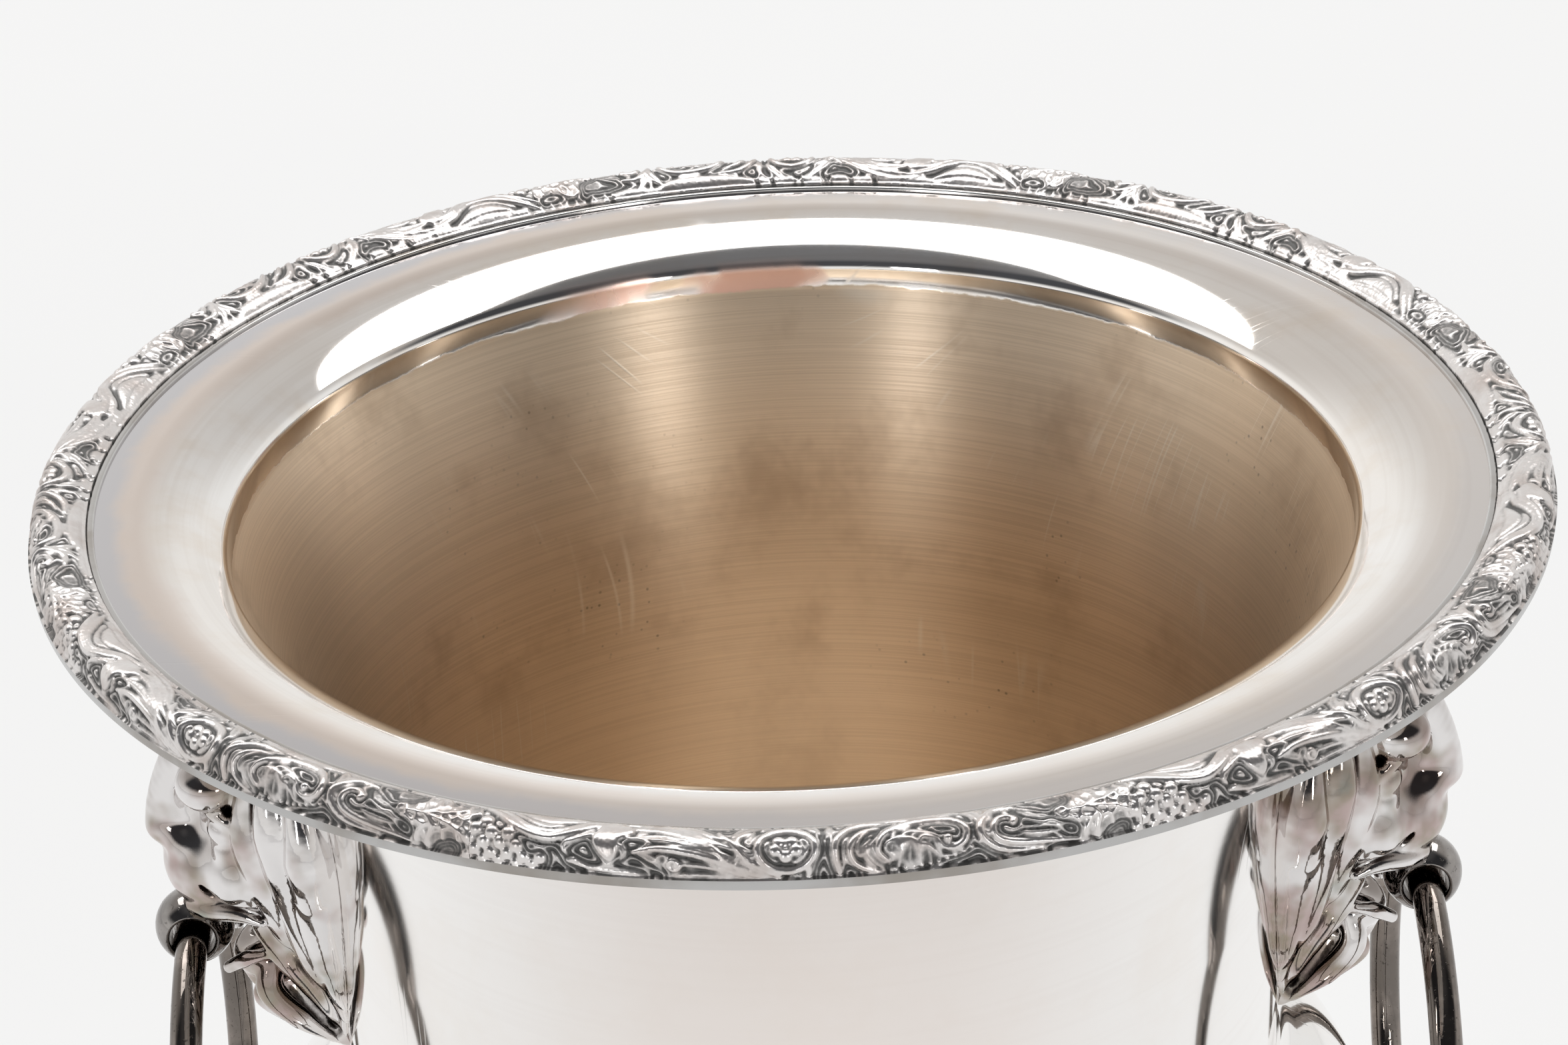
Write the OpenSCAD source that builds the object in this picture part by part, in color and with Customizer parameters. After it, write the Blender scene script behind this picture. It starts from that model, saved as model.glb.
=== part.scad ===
// Urn-shaped champagne bucket in silver plate. A spun bowl with a flared rim stands on its own
// pedestal foot, with a cast vine border, and a ring handle hanging from a lion mask each side.
// +Z is up, the bottom of the foot lies on z = 0, and the handles are on +X and -X.

/* [Rim] */
// Radius of the outer edge of the rim border
rim_r = 135; // [132:0.5:138]
// Height of the border's inner edge above the table
rim_z = 250; // [246:0.5:256]
// Radius where the ornament of the border begins
flare_r = 124.7; // [124.4:0.1:125]
// Half the width of the plain wire under the border
border_half = 5.1; // [4.8:0.1:5.4]
// Number of castings that the rim border is soldered from
border_castings = 8; // [6:1:8]

/* [Bowl] */
// Thickness of the spun sheet
sheet_t = 1.2; // [1:0.1:1.6]
// Inner radius of the mouth, where the neck's curve begins
mouth_r = 100.2; // [99:0.1:101]
// Inner radius of the straight neck
neck_r = 86.7; // [85:0.1:88]
// Depth of the top of the straight neck below the rim plane
neck_top = 75; // [70:1:80]
// Depth of the bottom of the straight neck below the rim plane
neck_end = 119; // [116:1:122]
// Outer radius of the belly
belly_r = 108; // [106:0.5:109]
// Depth of the bowl's underside below the rim plane
bowl_depth = 205; // [200:1:210]

/* [Handles] */
// Distance of the ring bosses from the bucket's axis
boss_x = 115.5; // [115:0.1:117]
// Depth of the ring bosses below the rim plane
boss_drop = 92.2; // [90:0.1:95]
// Radius of a ring boss
boss_r = 7.45; // [7.2:0.05:8]
// Radius of the bore that a ring runs through
boss_bore_r = 4.3; // [4.2:0.05:4.5]
// Radius of a handle ring to the middle of its bar
ring_r = 42; // [40:1:44]
// Radius of a handle ring's bar
ring_bar_r = 3; // [2.8:0.1:3.1]

/* [Foot] */
// Outer radius of the foot's base moulding
foot_r = 80; // [78:1:86]
// Height of the base moulding
foot_rim_h = 7; // [6:0.5:8]
// Height of the spun foot
foot_h = 29; // [28:0.5:31]
// Radius of the stud that holds the foot
stud_r = 3; // [3:0.1:3.2]

/* [Hidden] */

fine = 128;      // facets of the large turned shapes
small = 48;      // facets of small round shapes
hull_fn = 28;    // facets of the spheres that a casting is blended from

// Flare and neck: a flat collar turns over into a tight bend and a steep band down to the mouth,
// and a long arc runs from there into the neck
mouth_z = -12;
band_h = 3.4;
band_slope = 82;
bend_r = 3.2;
turn_r = 24;
turn_slope = 40;
neck_drop = neck_top + mouth_z;
flare_arc_r = (pow(neck_drop, 2) + pow(mouth_r - neck_r, 2)) / (2 * (mouth_r - neck_r));
flare_cx = neck_r + flare_arc_r;
mouth_slope = acos(neck_drop / flare_arc_r);
bend_cx = mouth_r + band_h / tan(band_slope) + bend_r * sin(band_slope);
bend_cz = mouth_z + band_h - bend_r * cos(band_slope);
turn_cx = bend_cx + (turn_r - bend_r) * sin(turn_slope);
turn_cz = bend_cz - (turn_r - bend_r) * cos(turn_slope);

// Rim: the flat collar turns down over the edge under the border, with one centre for both
edge_r = 2.9;
border_cx = rim_r - border_half;
border_cz = turn_cz + turn_r - edge_r;
border_top = 6.75;     // height of the border's crest above that centre
border_crest = 1.1;    // how far the crest lies outside the centre
border_in = 7.75;      // how far the section reaches inwards from its crest
inner_square = 2;      // how square its two shoulders are: 2 is an ellipse
outer_square = 2.6;
lip_top = -2.9;        // the plain lip under the ornament
lip_h = 1.7;
step_w = 1.4;          // the plain step inside the ornament
step_bottom = -1.3;
step_top = -0.35;
edge_turn = -14;       // where the turned-down sheet ends, round the border's centre
wire_gap = 0.1;        // how far the plain wire lies inside the ornament's outline
clear_of = 20;         // how far a trimming square reaches past what it trims

// Belly: a cove out of the neck, a shoulder arc, and a flat arc that closes the bottom
cove_r = 9;
cove_turn = 60;
cove_cx = neck_r + sheet_t + cove_r;
cove_x = cove_cx - cove_r * cos(cove_turn);
cove_z = -neck_end - cove_r * sin(cove_turn);
belly_arc_r = (belly_r - cove_x) / (1 - cos(cove_turn));
belly_cx = cove_x - belly_arc_r * cos(cove_turn);
belly_cz = cove_z - belly_arc_r * sin(cove_turn);
belly_turn = 50;
belly_x = belly_cx + belly_arc_r * cos(belly_turn);
belly_z = belly_cz - belly_arc_r * sin(belly_turn);
base_arc_r = (bowl_depth + belly_z) / (1 - sin(belly_turn));
base_cx = belly_x - base_arc_r * cos(belly_turn);
base_cz = belly_z + base_arc_r * sin(belly_turn);

// Heights above the table
bowl_z = rim_z - bowl_depth;
boss_z = rim_z - boss_drop;
collar_h = 3;
knop_h = bowl_z - foot_h - collar_h;
ring_play = 0.3;         // how far the ring's bar lies below the middle of its bore
shank_r = 4;             // the boss's shank, soldered into the lion's mouth
shank_in = 96;
shank_skin = 1.2;        // metal left between the shank and the bore
slip = 0.2;              // how much wider a hole is than the stud in it
stud_head_r = 14;
knop_end_r = 21;
collar_r = 24;
plate_r = 18;
plate_h = 2;
washer_r = 7;
washer_h = 1;
nut_r = 5.8;
nut_h = 5;
stud_below = 14;         // how far the stud reaches below the top of the foot
moulding_w = 11;
moulding_edge_r = 3;

// Points along an arc in the plane of the section
function arc(cx, cz, r, a0, a1, n) =
    [for (i = [0:n]) let (a = a0 + (a1 - a0) * i / n) [cx + r * cos(a), cz + r * sin(a)]];

// A list without its first point, for a line that goes on from another one's last point
function rest(list) = [for (i = [1:len(list) - 1]) list[i]];

// The crease at the mouth, a distance t out from the inner face
function mouth_crease(t) =
    let (middle = (band_slope + mouth_slope) / 2, reach = t / cos(band_slope - middle))
    [mouth_r + reach * sin(middle), mouth_z - reach * cos(middle)];

// The inner face (t = 0) or the outer face (t = sheet_t) of the bowl, from the rim to the axis
function bowl_face(t) = concat(
    arc(border_cx, border_cz, edge_r - t, edge_turn, 90, 10),
    arc(turn_cx, turn_cz, turn_r - t, 90, 90 + turn_slope, 14),
    rest(arc(bend_cx, bend_cz, bend_r - t, 90 + turn_slope, 90 + band_slope, 8)),
    [mouth_crease(t)],
    rest(arc(flare_cx, -neck_top, flare_arc_r - t, 90 + mouth_slope, 180, 16)),
    arc(cove_cx, -neck_end, cove_r + sheet_t - t, 180, 180 + cove_turn, 10),
    arc(belly_cx, belly_cz, belly_arc_r - sheet_t + t, cove_turn, -belly_turn, 24),
    arc(base_cx, base_cz, base_arc_r - sheet_t + t, -belly_turn, -90, 16),
    [[0, base_cz - base_arc_r + sheet_t - t]]);

function reversed(list) = [for (i = [len(list) - 1:-1:0]) list[i]];

// The whole spun bowl in one sheet: rim, flare, neck, belly and bottom
module bowl_shell() {
    color("silver")
    translate([0, 0, rim_z])
    rotate_extrude($fn = fine)
    polygon(concat(bowl_face(0), reversed(bowl_face(sheet_t))));
}

// Everything that lies under the sheet at the rim, which the pieces soldered on it leave free
module under_rim_sheet() {
    edge = arc(border_cx, border_cz, edge_r, edge_turn, 90, 10);
    collar_end = arc(turn_cx, turn_cz, turn_r, 90, 90 + turn_slope, 1)[0];
    polygon(concat([[edge[0][0], -clear_of]], edge, [collar_end, [collar_end[0], -clear_of]]));
}

// Plain wire that shows as a lip under the cast border
module rim_edge_wire() {
    color("gainsboro")
    translate([0, 0, rim_z])
    rotate_extrude($fn = fine)
    difference() {
        translate([border_cx, border_cz]) circle(r = border_half - wire_gap, $fn = small);
        under_rim_sheet();
        translate([border_cx - clear_of / 2, lip_top]) square(clear_of);
        translate([border_cx - clear_of / 2, lip_top - lip_h - clear_of]) square(clear_of);
    }
}

// Plain stepped wire between the flare and the ornament
module border_step_wire() {
    color("dimgray")
    translate([0, 0, rim_z])
    rotate_extrude($fn = fine)
    difference() {
        translate([flare_r - step_w, step_bottom]) square([step_w, step_top - step_bottom]);
        under_rim_sheet();
    }
}

// One shoulder of the border's section, from its crest out to a reach
function shoulder(reach, square) =
    [for (a = [0:4.5:90]) [border_crest + reach * pow(sin(a), 2 / square),
                         border_top * pow(cos(a), 2 / square)]];

// Domed section of the border: a long slope on the flare's side, rounding over quickly outside
module border_section() {
    polygon(concat(shoulder(border_half - border_crest, outer_square),
                   reversed(shoulder(-border_in, inner_square))));
}

// One casting of the domed border, with its neighbour starting at the next joint
module rim_border(i) {
    span = 360 / border_castings;
    color("lightgray")
    translate([0, 0, rim_z])
    rotate([0, 0, -90 + span * (i - 0.5)])
    rotate_extrude(angle = span, $fn = fine)
    difference() {
        translate([border_cx, border_cz]) border_section();
        under_rim_sheet();
        translate([border_cx - clear_of / 2, lip_top - clear_of]) square(clear_of);
        translate([flare_r - clear_of, -clear_of / 2]) square(clear_of);
    }
}

// Solid of revolution with the outer shape of the neck, used to seat the masks on the wall
module wall_cutter() {
    translate([0, 0, rim_z])
    rotate_extrude($fn = fine)
    polygon(concat([[0, 0]], bowl_face(sheet_t)));
}

// A lion's head blended from spheres, seated on the wall, with a hole for the boss's shank
module lion_mask() {
    difference() {
        translate([0, 0, boss_z]) {
            // brow, bridge of the nose and skull
            hull() {
                ball(95, 0, 50, 9);
                ball(102, 8, 35, 7);
                ball(102, -8, 35, 7);
                ball(92, 0, 10, 12);
            }
            // nose and muzzle
            hull() {
                ball(104, 0, 40, 6);
                ball(116.6, 0, 21.5, 5.2);
                ball(111.5, 5.5, 14.6, 6.5);
                ball(111.5, -5.5, 14.6, 6.5);
                ball(96, 0, 12, 12);
            }
            // cheeks, jaw and beard down to the point
            hull() {
                ball(96, 13, 17, 8.5);
                ball(96, -13, 17, 8.5);
                ball(98, 0, -6, 7);
                ball(98.5, 0, -16.5, 4.5);
                ball(89.5, 0, -27.3, 1.8);
            }
            // locks of the mane on each side
            for (side = [-1, 1]) hull() {
                ball(95, side * 13, 45, 6);
                ball(92, side * 19, 23, 6);
                ball(91, side * 17, 2, 5);
                ball(89, side * 6, -21, 3);
            }
        }
        wall_cutter();
        translate([shank_in, 0, boss_z]) rotate([0, 90, 0]) cylinder(r = shank_r, h = 30, $fn = small);
    }
}

module ball(x, y, z, r) {
    translate([x, y, z]) sphere(r = r, $fn = hull_fn);
}

// Ball with a tangential bore for the ring, on a shank that goes into the lion's mouth
module ring_boss() {
    translate([boss_x, 0, boss_z]) rotate([90, 0, 0])
    rotate_extrude($fn = 96)
    difference() {
        circle(r = boss_r, $fn = 96);
        translate([boss_bore_r - clear_of, -clear_of / 2]) square(clear_of);
    }
    translate([shank_in, 0, boss_z]) rotate([0, 90, 0])
        cylinder(r = shank_r, h = boss_x - boss_bore_r - shank_skin - shank_in, $fn = small);
}

// Closed round-bar ring, hanging in its bore
module handle_ring() {
    translate([boss_x, 0, boss_z - ring_play - ring_r]) rotate([0, 90, 0])
    rotate_extrude($fn = 96)
    translate([ring_r, 0]) circle(r = ring_bar_r, $fn = small);
}

module left() {
    rotate([0, 0, 180]) children();
}

module lion_mask_left() { color("lightsteelblue") left() lion_mask(); }
module lion_mask_right() { color("lightsteelblue") lion_mask(); }
module ring_boss_left() { color("slategray") left() ring_boss(); }
module ring_boss_right() { color("slategray") ring_boss(); }
module ring_left() { color("dimgray") left() handle_ring(); }
module ring_right() { color("dimgray") handle_ring(); }

// Turned ring that seats the bowl's rounded bottom on the knop
module bowl_collar() {
    color("gainsboro")
    translate([0, 0, bowl_z - collar_h])
    rotate_extrude($fn = fine)
    polygon(concat([[stud_head_r + slip, 0], [stud_head_r + slip, collar_h]],
                   arc(collar_r, collar_h / 2, collar_h / 2, 90, -90, 12)));
}

// Cast knop between the collar and the foot, drilled for the stud
module stem_knop() {
    color("silver")
    translate([0, 0, foot_h])
    rotate_extrude($fn = fine)
    polygon(concat([[stud_r + slip, 0], [stud_r + slip, knop_h]],
                   [[knop_end_r, knop_h]],
                   arc(knop_end_r - 1, knop_h / 2, knop_h / 2 - 1.5, 90, -90, 20),
                   [[knop_end_r, 0]]));
}

// Spun trumpet foot with a flat top, drilled for the stud
module foot_shell() {
    top_r = knop_end_r;
    lip_r = foot_r - 4;
    dome_in = 9.6;       // how far inside the edge the foot begins to sweep up
    color("silver")
    rotate_extrude($fn = fine)
    difference() {
        foot_outline(top_r, lip_r, dome_in, 0);
        foot_outline(top_r, lip_r, dome_in, sheet_t);
        square([stud_r + slip, foot_h + 1]);
    }
}

// Solid half-section of the trumpet foot, drawn in by t all round but open at the bottom
module foot_outline(top_r, lip_r, dome_in, t) {
    edge_rise = 5;
    drop = foot_h - foot_rim_h - edge_rise;
    run = lip_r - top_r - dome_in;
    sweep = 2 * atan(drop / run);
    trumpet_r = run / sin(sweep);
    polygon(concat([[0, foot_rim_h], [0, foot_h - t], [top_r - t, foot_h - t]],
                   arc(top_r + trumpet_r * sin(sweep), foot_h - drop + trumpet_r, trumpet_r + t,
                       270 - sweep, 270, 20),
                   arc(lip_r - dome_in, foot_rim_h, edge_rise - t, 90, 60, 2),
                   [[lip_r - t, foot_rim_h]]));
}

// Solid base moulding: flat under the foot, with a rounded face
module foot_base_moulding() {
    color("gainsboro")
    rotate_extrude($fn = fine)
    polygon(concat([[foot_r - moulding_w, 0], [foot_r - 2, 0]],
                   arc(foot_r - moulding_edge_r, moulding_edge_r, moulding_edge_r, -60, 90, 14),
                   [[foot_r - 4, 2 * moulding_edge_r], [foot_r - 4, foot_rim_h]],
                   [[foot_r - moulding_w, foot_rim_h]]));
}

// Stud with a broad head, soldered under the bowl and passing through the knop and foot
module foot_stud() {
    color("goldenrod") {
        translate([0, 0, bowl_z - collar_h]) cylinder(r = stud_head_r, h = collar_h, $fn = small);
        translate([0, 0, foot_h - stud_below]) cylinder(r = stud_r, h = knop_h + stud_below, $fn = small);
    }
}

// Disc that spreads the nut's pull under the thin top of the foot
module foot_plate() {
    color("goldenrod")
    translate([0, 0, foot_h - sheet_t - plate_h])
    drilled(stud_r + slip, plate_h) cylinder(r = plate_r, h = plate_h, $fn = small);
}

module foot_washer() {
    color("khaki")
    translate([0, 0, foot_h - sheet_t - plate_h - washer_h])
    drilled(stud_r + slip, washer_h) cylinder(r = washer_r, h = washer_h, $fn = small);
}

module foot_nut() {
    color("khaki")
    translate([0, 0, foot_h - sheet_t - plate_h - washer_h - nut_h])
    drilled(stud_r, nut_h) cylinder(r = nut_r, h = nut_h, $fn = 6);
}

// A flat piece of that height with a round hole through its middle
module drilled(hole_r, height) {
    difference() {
        children();
        translate([0, 0, -1]) cylinder(r = hole_r, h = height + 2, $fn = small);
    }
}

bowl_shell();
rim_edge_wire();
border_step_wire();
rim_border(1);  // rim_border_1
rim_border(2);  // rim_border_2
rim_border(3);  // rim_border_3
rim_border(4);  // rim_border_4
rim_border(5);  // rim_border_5
rim_border(6);  // rim_border_6
rim_border(7);  // rim_border_7
rim_border(8);  // rim_border_8
lion_mask_left();
lion_mask_right();
ring_boss_left();
ring_boss_right();
ring_left();
ring_right();
bowl_collar();
stem_knop();
foot_shell();
foot_base_moulding();
foot_stud();
foot_plate();
foot_washer();
foot_nut();
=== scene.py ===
import math

import bpy
import numpy as np
from mathutils import Euler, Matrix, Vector


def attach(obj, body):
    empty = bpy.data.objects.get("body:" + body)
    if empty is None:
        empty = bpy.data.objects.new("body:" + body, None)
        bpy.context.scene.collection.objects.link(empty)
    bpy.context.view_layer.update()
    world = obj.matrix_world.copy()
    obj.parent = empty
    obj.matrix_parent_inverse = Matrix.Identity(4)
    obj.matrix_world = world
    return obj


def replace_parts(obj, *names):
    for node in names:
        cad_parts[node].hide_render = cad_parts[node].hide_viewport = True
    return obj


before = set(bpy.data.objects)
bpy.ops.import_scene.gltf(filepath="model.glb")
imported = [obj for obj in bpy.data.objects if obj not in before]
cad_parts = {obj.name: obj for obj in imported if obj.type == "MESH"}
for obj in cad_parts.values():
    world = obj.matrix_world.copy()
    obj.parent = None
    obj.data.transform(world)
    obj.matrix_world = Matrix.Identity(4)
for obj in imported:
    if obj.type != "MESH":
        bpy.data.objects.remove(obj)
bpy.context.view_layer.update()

MM = 0.001
TAU = 2 * math.pi


def cos_d(degrees):
    return math.cos(math.radians(degrees))


def sin_d(degrees):
    return math.sin(math.radians(degrees))


# ---------------------------------------------------------------- sizes, in millimetres, as in the CAD
RIM_Z = 250.0
SHEET = 1.2
NECK_R, NECK_TOP, NECK_END = 86.7, 75.0, 119.0
BELLY_R, BOWL_DEPTH = 108.0, 205.0
MOUTH_R, MOUTH_Z = 100.2, -12.0
BAND_H, BAND_SLOPE, BEND_R = 3.4, 82.0, 3.2
TURN_R, TURN_SLOPE = 24.0, 40.0
NECK_DROP, NECK_OUT = NECK_TOP + MOUTH_Z, MOUTH_R - NECK_R
FLARE_ARC_R = (NECK_DROP ** 2 + NECK_OUT ** 2) / (2 * NECK_OUT)
MOUTH_SLOPE = math.degrees(math.acos(NECK_DROP / FLARE_ARC_R))
BEND_CX = MOUTH_R + BAND_H * cos_d(BAND_SLOPE) / sin_d(BAND_SLOPE) + BEND_R * sin_d(BAND_SLOPE)
BEND_CZ = MOUTH_Z + BAND_H - BEND_R * cos_d(BAND_SLOPE)
TURN_CX = BEND_CX + (TURN_R - BEND_R) * sin_d(TURN_SLOPE)
TURN_CZ = BEND_CZ - (TURN_R - BEND_R) * cos_d(TURN_SLOPE)
EDGE_R, EDGE_TURN = 2.9, -14.0
BORDER_R = 5.1
BORDER_CX, BORDER_CZ = 129.9, TURN_CZ + TURN_R - EDGE_R
BORDER_TOP, BORDER_CREST, BORDER_IN = 6.75, 1.1, 7.75
INNER_SQUARE, OUTER_SQUARE = 2.0, 2.6
FLARE_R, STEP_W, STEP_TOP = 124.7, 1.4, -0.35
LIP_TOP, LIP_H = -2.9, 1.7
BOSS_X, BOSS_Z, BOSS_R, BORE_R = 115.5, 157.8, 7.45, 4.3
RING_R, BAR_R, RING_PLAY = 42.0, 3.0, 0.3
SHANK_R, SHANK_IN = 4.0, 96.0
FOOT_R, FOOT_H, FOOT_RIM_H, KNOP_H, KNOP_R, COLLAR_R, COLLAR_H = 80.0, 29.0, 7.0, 13.0, 21.0, 24.0, 3.0
STUD_HOLE_R, STUD_HEAD_HOLE_R = 3.2, 14.2
FOOT_LIP_IN, MOULDING_W, MOULDING_R = 4.0, 11.0, 3.0
BOSS_LIP = 0.9

# how finely the turned pieces are cut round the axis
RIM_TURNS, FOOT_TURNS, STEM_TURNS, BOSS_TURNS = 384, 288, 192, 96
RING_TURNS, BAR_SIDES = 240, 36
OUTSIDE = -200.0                            # the bowl's depth attribute on its outer face

# the photograph's viewing angle: place in metres, turn in degrees, lens in millimetres
CAMERA_PLACE, CAMERA_TURN, CAMERA_LENS = (0.0, -0.6895, 0.5984), (62.346, 2.264, -1.064), 99.5


# ---------------------------------------------------------------- shader nodes
class Shader:
    """A material's or world's node tree, with one short call per node."""

    def __init__(self, tree):
        self.tree = tree
        tree.nodes.clear()

    def node(self, kind, inputs=(), **settings):
        made = self.tree.nodes.new("ShaderNode" + kind)
        for key, value in settings.items():
            setattr(made, key, value)
        for key, value in dict(inputs).items():
            self.feed(made.inputs[key], value)
        return made

    def feed(self, socket, value):
        if isinstance(value, bpy.types.NodeSocket):
            self.tree.links.new(value, socket)
        elif isinstance(value, bpy.types.Node):
            self.tree.links.new(value.outputs[0], socket)
        else:
            socket.default_value = value

    def math(self, operation, a, b=0.0):
        return self.node("Math", {0: a, 1: b}, operation=operation).outputs[0]

    def plus(self, a, b):
        return self.math("ADD", a, b)

    def minus(self, a, b):
        return self.math("SUBTRACT", a, b)

    def times(self, a, b):
        return self.math("MULTIPLY", a, b)

    def spread(self, noise, amount):
        """Noise centred on nought, so that it pushes an edge both ways."""
        return self.times(self.minus(noise, 0.5), amount)

    def vector(self, x, y, z):
        return self.node("CombineXYZ", {0: x, 1: y, 2: z}).outputs[0]

    def noise(self, vector, scale, detail=2.0, roughness=0.5):
        made = self.node("TexNoise", {"Vector": vector, "Scale": scale, "Detail": detail, "Roughness": roughness})
        return made.outputs["Fac"]

    def steps(self, value, low, high, out_low=0.0, out_high=1.0):
        made = self.node("MapRange", {"Value": value, "From Min": low, "From Max": high,
                                      "To Min": out_low, "To Max": out_high},
                         interpolation_type="SMOOTHSTEP")
        return made.outputs[0]

    def mix(self, factor, a, b):
        made = self.node("Mix", data_type="RGBA")
        self.feed(made.inputs[0], factor)
        self.feed(made.inputs[6], a)
        self.feed(made.inputs[7], b)
        return made.outputs[2]

    def tint(self, base, place, strength, colour):
        """The base with a colour over it, as strongly as the place says."""
        return self.mix(self.times(place, strength), base, colour)

    def blend(self, factor, a, b):
        made = self.node("Mix", data_type="FLOAT")
        self.feed(made.inputs[0], factor)
        self.feed(made.inputs[2], a)
        self.feed(made.inputs[3], b)
        return made.outputs[0]

    def attribute(self, name):
        return self.node("Attribute", attribute_name=name).outputs["Fac"]


def new_material(name):
    """An empty material, and the shader that fills its node tree."""
    material = bpy.data.materials.new(name)
    material.use_nodes = True
    return material, Shader(material.node_tree)


def rgb(r, g, b):
    """An opaque colour in linear light."""
    return (r, g, b, 1.0)


def position(sh):
    """The point on the object, in metres."""
    return sh.node("TexCoord").outputs["Object"]


def numbers(sh, vector):
    """A vector's three numbers."""
    return sh.node("SeparateXYZ", {0: vector}).outputs


def around_axis(sh, round_scale, along_scale):
    """Coordinates for marks that run round the bucket: slow round it, quick along the section."""
    x, y, z = numbers(sh, position(sh))
    radius = sh.math("SQRT", sh.plus(sh.times(x, x), sh.times(y, y)))
    cos_a = sh.math("DIVIDE", x, sh.math("MAXIMUM", radius, 0.001))
    sin_a = sh.math("DIVIDE", y, sh.math("MAXIMUM", radius, 0.001))
    along = sh.plus(sh.times(radius, along_scale), sh.times(z, along_scale))
    return sh.vector(sh.times(cos_a, round_scale), sh.times(sin_a, round_scale), along)


def scratches(sh, vector, turn, scale, density):
    """Long thin scratches that lie along one direction."""
    turned = sh.node("Mapping", {"Vector": vector, "Rotation": turn, "Scale": (scale * 0.02, scale, scale * 0.02)})
    cells = sh.node("TexVoronoi", {"Vector": turned.outputs[0], "Scale": 1.0, "Randomness": 1.0},
                    feature="DISTANCE_TO_EDGE")
    line = sh.steps(cells.outputs["Distance"], 0.0, 0.035, 1.0, 0.0)
    patch = sh.noise(vector, scale * 0.09, 2.0)
    return sh.times(line, sh.steps(patch, 1.0 - density, 1.08 - density))


def metal(sh, colour, roughness, height, bump_depth, anisotropic=0.0):
    """The metal surface that every look ends in; an anisotropic one is brushed round the axis."""
    bump = sh.node("Bump", {"Height": height, "Distance": bump_depth, "Strength": 1.0})
    surface = sh.node("BsdfPrincipled", {"Base Color": colour, "Roughness": roughness, "Metallic": 1.0,
                                         "Normal": bump.outputs[0]})
    if anisotropic:
        surface.inputs["Anisotropic"].default_value = anisotropic
        surface.inputs["Anisotropic Rotation"].default_value = 0.25
        sh.feed(surface.inputs["Tangent"], sh.node("Tangent", direction_type="RADIAL", axis="Z"))
    sh.node("OutputMaterial", {"Surface": surface.outputs[0]})


def bowl_material():
    """One sheet: mirror-polished flare and outside, satin and tarnished inside below the mouth."""
    material, sh = new_material("silver_plate_bowl")
    point = position(sh)
    depth = sh.attribute("depth")          # distance down the inner face from the mouth, in mm
    ragged = sh.spread(sh.noise(point, 260.0, 4.0, 0.65), 1.6)
    wander = sh.spread(sh.noise(point, 30.0, 2.0), 2.2)
    inside = sh.steps(sh.plus(sh.plus(depth, ragged), wander), -0.35, 0.35)

    brush = sh.noise(around_axis(sh, 0.9, 2300.0), 1.0, 3.0, 0.7)
    broad_brush = sh.noise(around_axis(sh, 0.7, 420.0), 1.0, 2.0, 0.6)
    clouds = sh.noise(point, 11.0, 3.0, 0.55)
    stains = sh.noise(point, 42.0, 4.0, 0.62)
    scratch = sh.math("MAXIMUM", scratches(sh, point, (0.5, 0.9, 0.35), 330.0, 0.40),
                      scratches(sh, point, (1.3, 0.2, -0.7), 260.0, 0.42))
    worn = worn_copper(sh, point, depth)

    satin = satin_colour(sh, point, depth, clouds, stains, brush, scratch)
    polish = polish_colour(sh, point, depth, clouds, stains, broad_brush)
    polish = sh.tint(polish, worn, 0.85, rgb(0.93, 0.56, 0.44))
    satin_rough = sh.plus(sh.plus(sh.times(brush, 0.10), sh.times(clouds, 0.10)), 0.30)
    polish_rough = sh.plus(sh.times(stains, 0.05), sh.times(scratch, 0.10))
    polish_rough = sh.plus(sh.plus(polish_rough, sh.times(worn, 0.30)), 0.035)
    satin_height = sh.plus(sh.times(brush, 0.75), sh.times(broad_brush, 0.5))
    satin_height = sh.minus(satin_height, sh.times(scratch, 0.35))
    polish_height = sh.minus(sh.times(broad_brush, 0.05), sh.times(scratch, 0.12))
    metal(sh, sh.mix(inside, polish, satin), sh.blend(inside, polish_rough, satin_rough),
          sh.blend(inside, polish_height, satin_height), 0.00002, 0.8)
    return material


def worn_copper(sh, point, depth):
    """Where the plate has worn through to the copper: ragged patches on the steep band, at the back."""
    band = sh.times(sh.steps(depth, -7.0, -3.0), sh.steps(numbers(sh, point)[1], 0.085, 0.098))
    return sh.times(sh.steps(sh.noise(point, 34.0, 3.0, 0.6), 0.52, 0.63), band)


def satin_colour(sh, point, depth, clouds, stains, brush, scratch):
    """Warm tarnish inside the bowl, clouded, stained and specked, and lighter towards the bottom."""
    specks = sh.node("TexVoronoi", {"Vector": point, "Scale": 420.0, "Randomness": 1.0}).outputs["Distance"]
    speck = sh.times(sh.steps(specks, 0.05, 0.19, 1.0, 0.0), sh.steps(sh.noise(point, 24.0, 2.0), 0.52, 0.68))
    satin = sh.mix(sh.steps(clouds, 0.35, 0.66), rgb(0.86, 0.71, 0.55), rgb(0.74, 0.60, 0.45))
    satin = sh.tint(satin, sh.steps(stains, 0.50, 0.76), 0.65, rgb(0.50, 0.38, 0.27))
    satin = sh.tint(satin, sh.steps(brush, 0.40, 0.62), 0.30, rgb(0.52, 0.40, 0.28))
    satin = sh.tint(satin, sh.steps(depth, 50.0, 130.0), 0.6, rgb(0.98, 0.84, 0.67))
    satin = sh.tint(satin, speck, 0.6, rgb(0.10, 0.08, 0.06))
    return sh.tint(satin, scratch, 0.45, rgb(0.92, 0.86, 0.76))


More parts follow.
